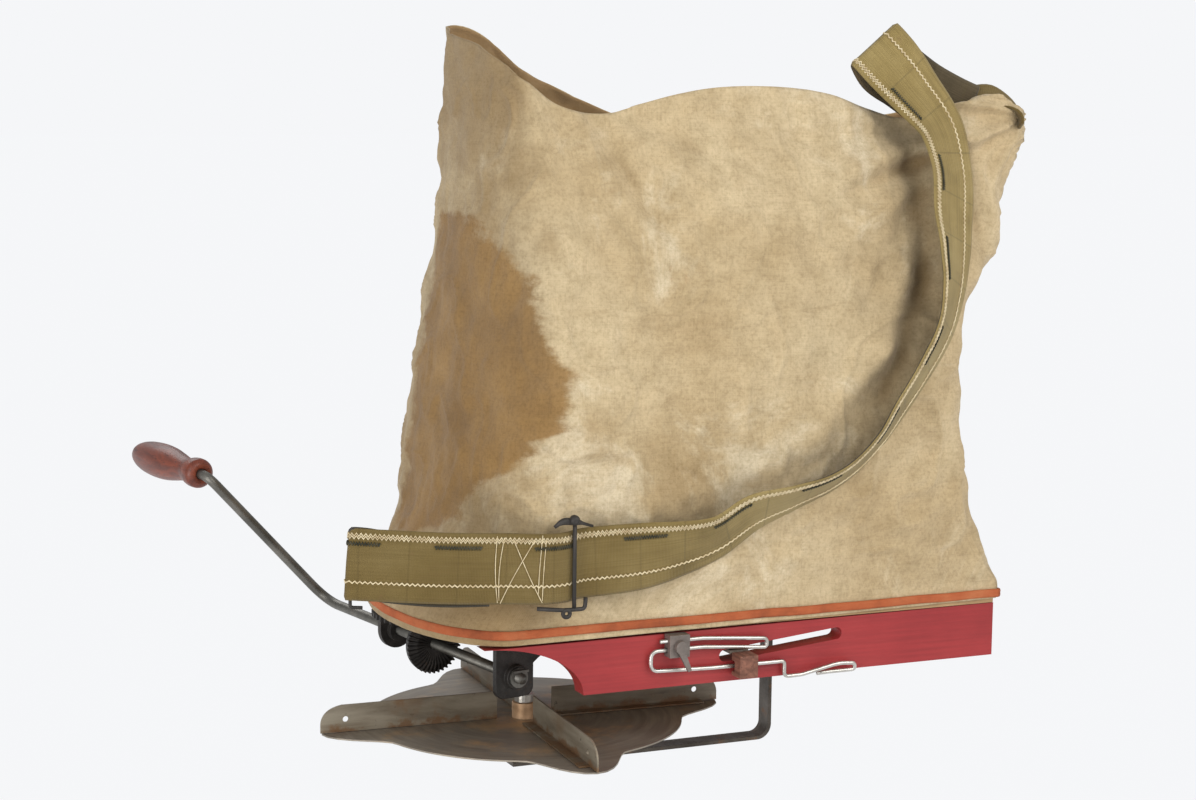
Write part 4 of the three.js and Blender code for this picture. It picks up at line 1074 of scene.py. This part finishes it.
def strap_hardware(materials):
    x, y = 32.0, -144.4
    slide = rounded([(x - 26, y + 4.5, 22.5), (x - 8, y, 21), (x + 8, y - 0.5, 21), (x + 8.5, y - 0.5, 29)],
                    3.0)
    bar = rounded([(x, y, 86), (x, y, 60), (x, y, 40), (x, y, 20)], 2.0)
    hook = rounded([(x - 14, y + 3, 79.5), (x - 9, y + 1, 84), (x + 2, y, 83), (x + 14, y + 1, 79)], 4.0)
    eye = [(x - 6 + 2.6 * math.cos(a), y - 0.6, 18.6 + 2.6 * math.sin(a))
           for a in np.linspace(0, 2 * math.pi, 20)]
    mesh = tube_mesh("strap_slide_wire", [slide, bar, eye], 1.5, sides=12)
    stand_in(mesh, "frame", materials["iron"], "strap_buckle")
    taper = tube_mesh("strap_slide_hook", [hook],
                      lambda t: 2.6 * math.sin(math.pi * (0.12 + 0.8 * t)) ** 0.7, 12)
    link(taper, "frame", materials["iron"])
    rivet = Matrix.Translation((x - 1, y - 2.4, 84.5)) @ Matrix.Rotation(math.pi / 2, 4, "X")
    dome = [(0.05, 3.0), (1.6, 2.8), (3.0, 1.9), (3.7, 0.4), (3.7, -2.0), (0.05, -2.0)]
    link(lathe_mesh("strap_slide_rivet", dome, rivet, 28), "frame", materials["iron"])
    end_bar = rounded([(-112, -112.3, 27), (-119.6, -108.6, 27), (-119.6, -108.6, 81.5),
                       (-114, -111.5, 81.5)], 2.0)
    mesh = tube_mesh("strap_end_wire", [end_bar], 1.25, sides=12)
    stand_in(mesh, "frame", materials["iron"], "strap_end_bar")


# ---------------------------------------------------------------- crank, wire and grip
ALONG = Vector((-math.sin(math.radians(10)), math.cos(math.radians(10)), 0))
APEX = Vector((19.5, -62, -44.5)) + ALONG * 108


def shaft_frame():
    up = Vector((0, 0, 1))
    across = up.cross(ALONG)
    return Matrix.Translation(APEX) @ Matrix((across, up, ALONG)).transposed().to_4x4()


def crank_rod(materials):
    turn = shaft_frame()
    corners = [(0, 0, -121), (0, 0, CRANK_AT), (CRANK_ACROSS, CRANK_UP, CRANK_AT),
               (CRANK_ACROSS, CRANK_UP, CRANK_END)]
    path = [turn @ p for p in rounded(corners, [22, 12], 16)]
    mesh = tube_mesh("crank_rod_bar", [path], 4.0, 28)
    stand_in(mesh, "crank", materials["steel"], "crank_rod")


def crank_grip(materials):
    outline = np.array([
        (4.3, 0), (8.2, 0), (9.6, 0.9), (11.6, 3), (12.1, 7), (11.9, 12), (11.2, 15.5), (9.9, 19),
        (9.4, 23), (10, 32), (12, 46), (13.8, 60), (14.5, 73), (14.2, 88), (13, 102), (11.2, 112),
        (9.3, 118.6), (8.3, 121), (7.2, 122), (4.3, 122),
    ])
    radii, heights = outline.T
    keys = np.concatenate([[0], np.cumsum(np.hypot(np.diff(heights), np.diff(radii)))])
    fine = spline(keys, outline, np.linspace(0, keys[-1], 90))
    place = shaft_frame() @ Matrix.Translation((CRANK_ACROSS, CRANK_UP, GRIP_FROM))
    mesh = lathe_mesh("crank_grip_wood", [tuple(p) for p in fine], place, 72)
    stand_in(mesh, "grip", materials["grip_wood"], "crank_grip")


def gauge_wire(materials):
    y = -120.4
    corners = [(110, y, -14.2), (145, y, -14.2), (197, y, -18.6), (197, y, -25.4), (145, y, -20.8),
               (103, y, -20.8), (103, y, -35.4), (150, y, -37), (212, y, -37.2), (212, y, -49),
               (226, y - 1, -48.6), (256, y - 3, -42), (270, y - 3, -43), (271, y - 1, -48.5),
               (250, y + 0.6, -48.9), (240, y + 0.6, -49.2)]
    path = rounded(corners, [4, 3.3, 3.3, 4, 6, 6, 4, 3, 4, 3, 6, 3, 2.6, 4], 12)
    mesh = tube_mesh("gauge_wire_bent", [path], 1.5, 20)
    stand_in(mesh, "gauge", materials["bright_steel"], "gauge_wire")


def hard_parts(materials):
    edges = {
        "red_paint": [("near_rail", 0.8), ("far_rail", 0.8)],
        "iron": [("near_crank_bracket", 0.9), ("far_crank_bracket", 0.9)],
        "bar_iron": [("hanger_bar", 0.7)],
        "block_wood": [("gate_block", 1.0)],
        "zinc": [("gauge_clamp", 0.7), ("thumb_screw", 0.6)],
        "hub_bronze": [("distributor_hub", 0.6)],
        "steel": [("hub_nut", 0.5)],
        "sheet": [("distributor_plate", 0.3)],
        "vane": [("vane_a", 0.3), ("vane_b", 0.3), ("vane_c", 0.3), ("vane_d", 0.3)],
    }
    for slot, rounded_nodes in edges.items():
        for name, width in rounded_nodes:
            eased(name, width, materials[slot])
    finishes = {
        "board_wood": ["base_board"],
        "iron": ["gear_frame", "step_bearing", "crank_gear", "cluster_gear", "spindle_pinion"],
        "steel": ["gear_stud", "frame_screw_a", "frame_screw_b", "hanger_screw_a", "hanger_screw_b",
                  "near_bracket_screw_a", "near_bracket_screw_b", "far_bracket_screw_a",
                  "far_bracket_screw_b", "crank_washer", "crank_cotter", "grip_washer", "agitator"],
        "bright_steel": ["spindle", "spindle_collar"],
        "sheet": ["feed_gate"],
        "zinc": ["feed_plate", "near_gate_guide", "far_gate_guide"],
    }
    for slot, names in finishes.items():
        for name in names:
            mesh = frame["nodes"][name].data
            mesh.materials.clear()
            mesh.materials.append(materials[slot])


# ---------------------------------------------------------------- the whole
make_camera()
make_studio()
made = make_materials()
canvas_bag(made)
binding_tape(made)
strap = Strap(STRAP)
strap_stitches(strap, made)
strap_sewing(strap, made)
strap_band(strap, made)
strap_lap(made)
strap_hardware(made)
crank_rod(made)
crank_grip(made)
gauge_wire(made)
hard_parts(made)
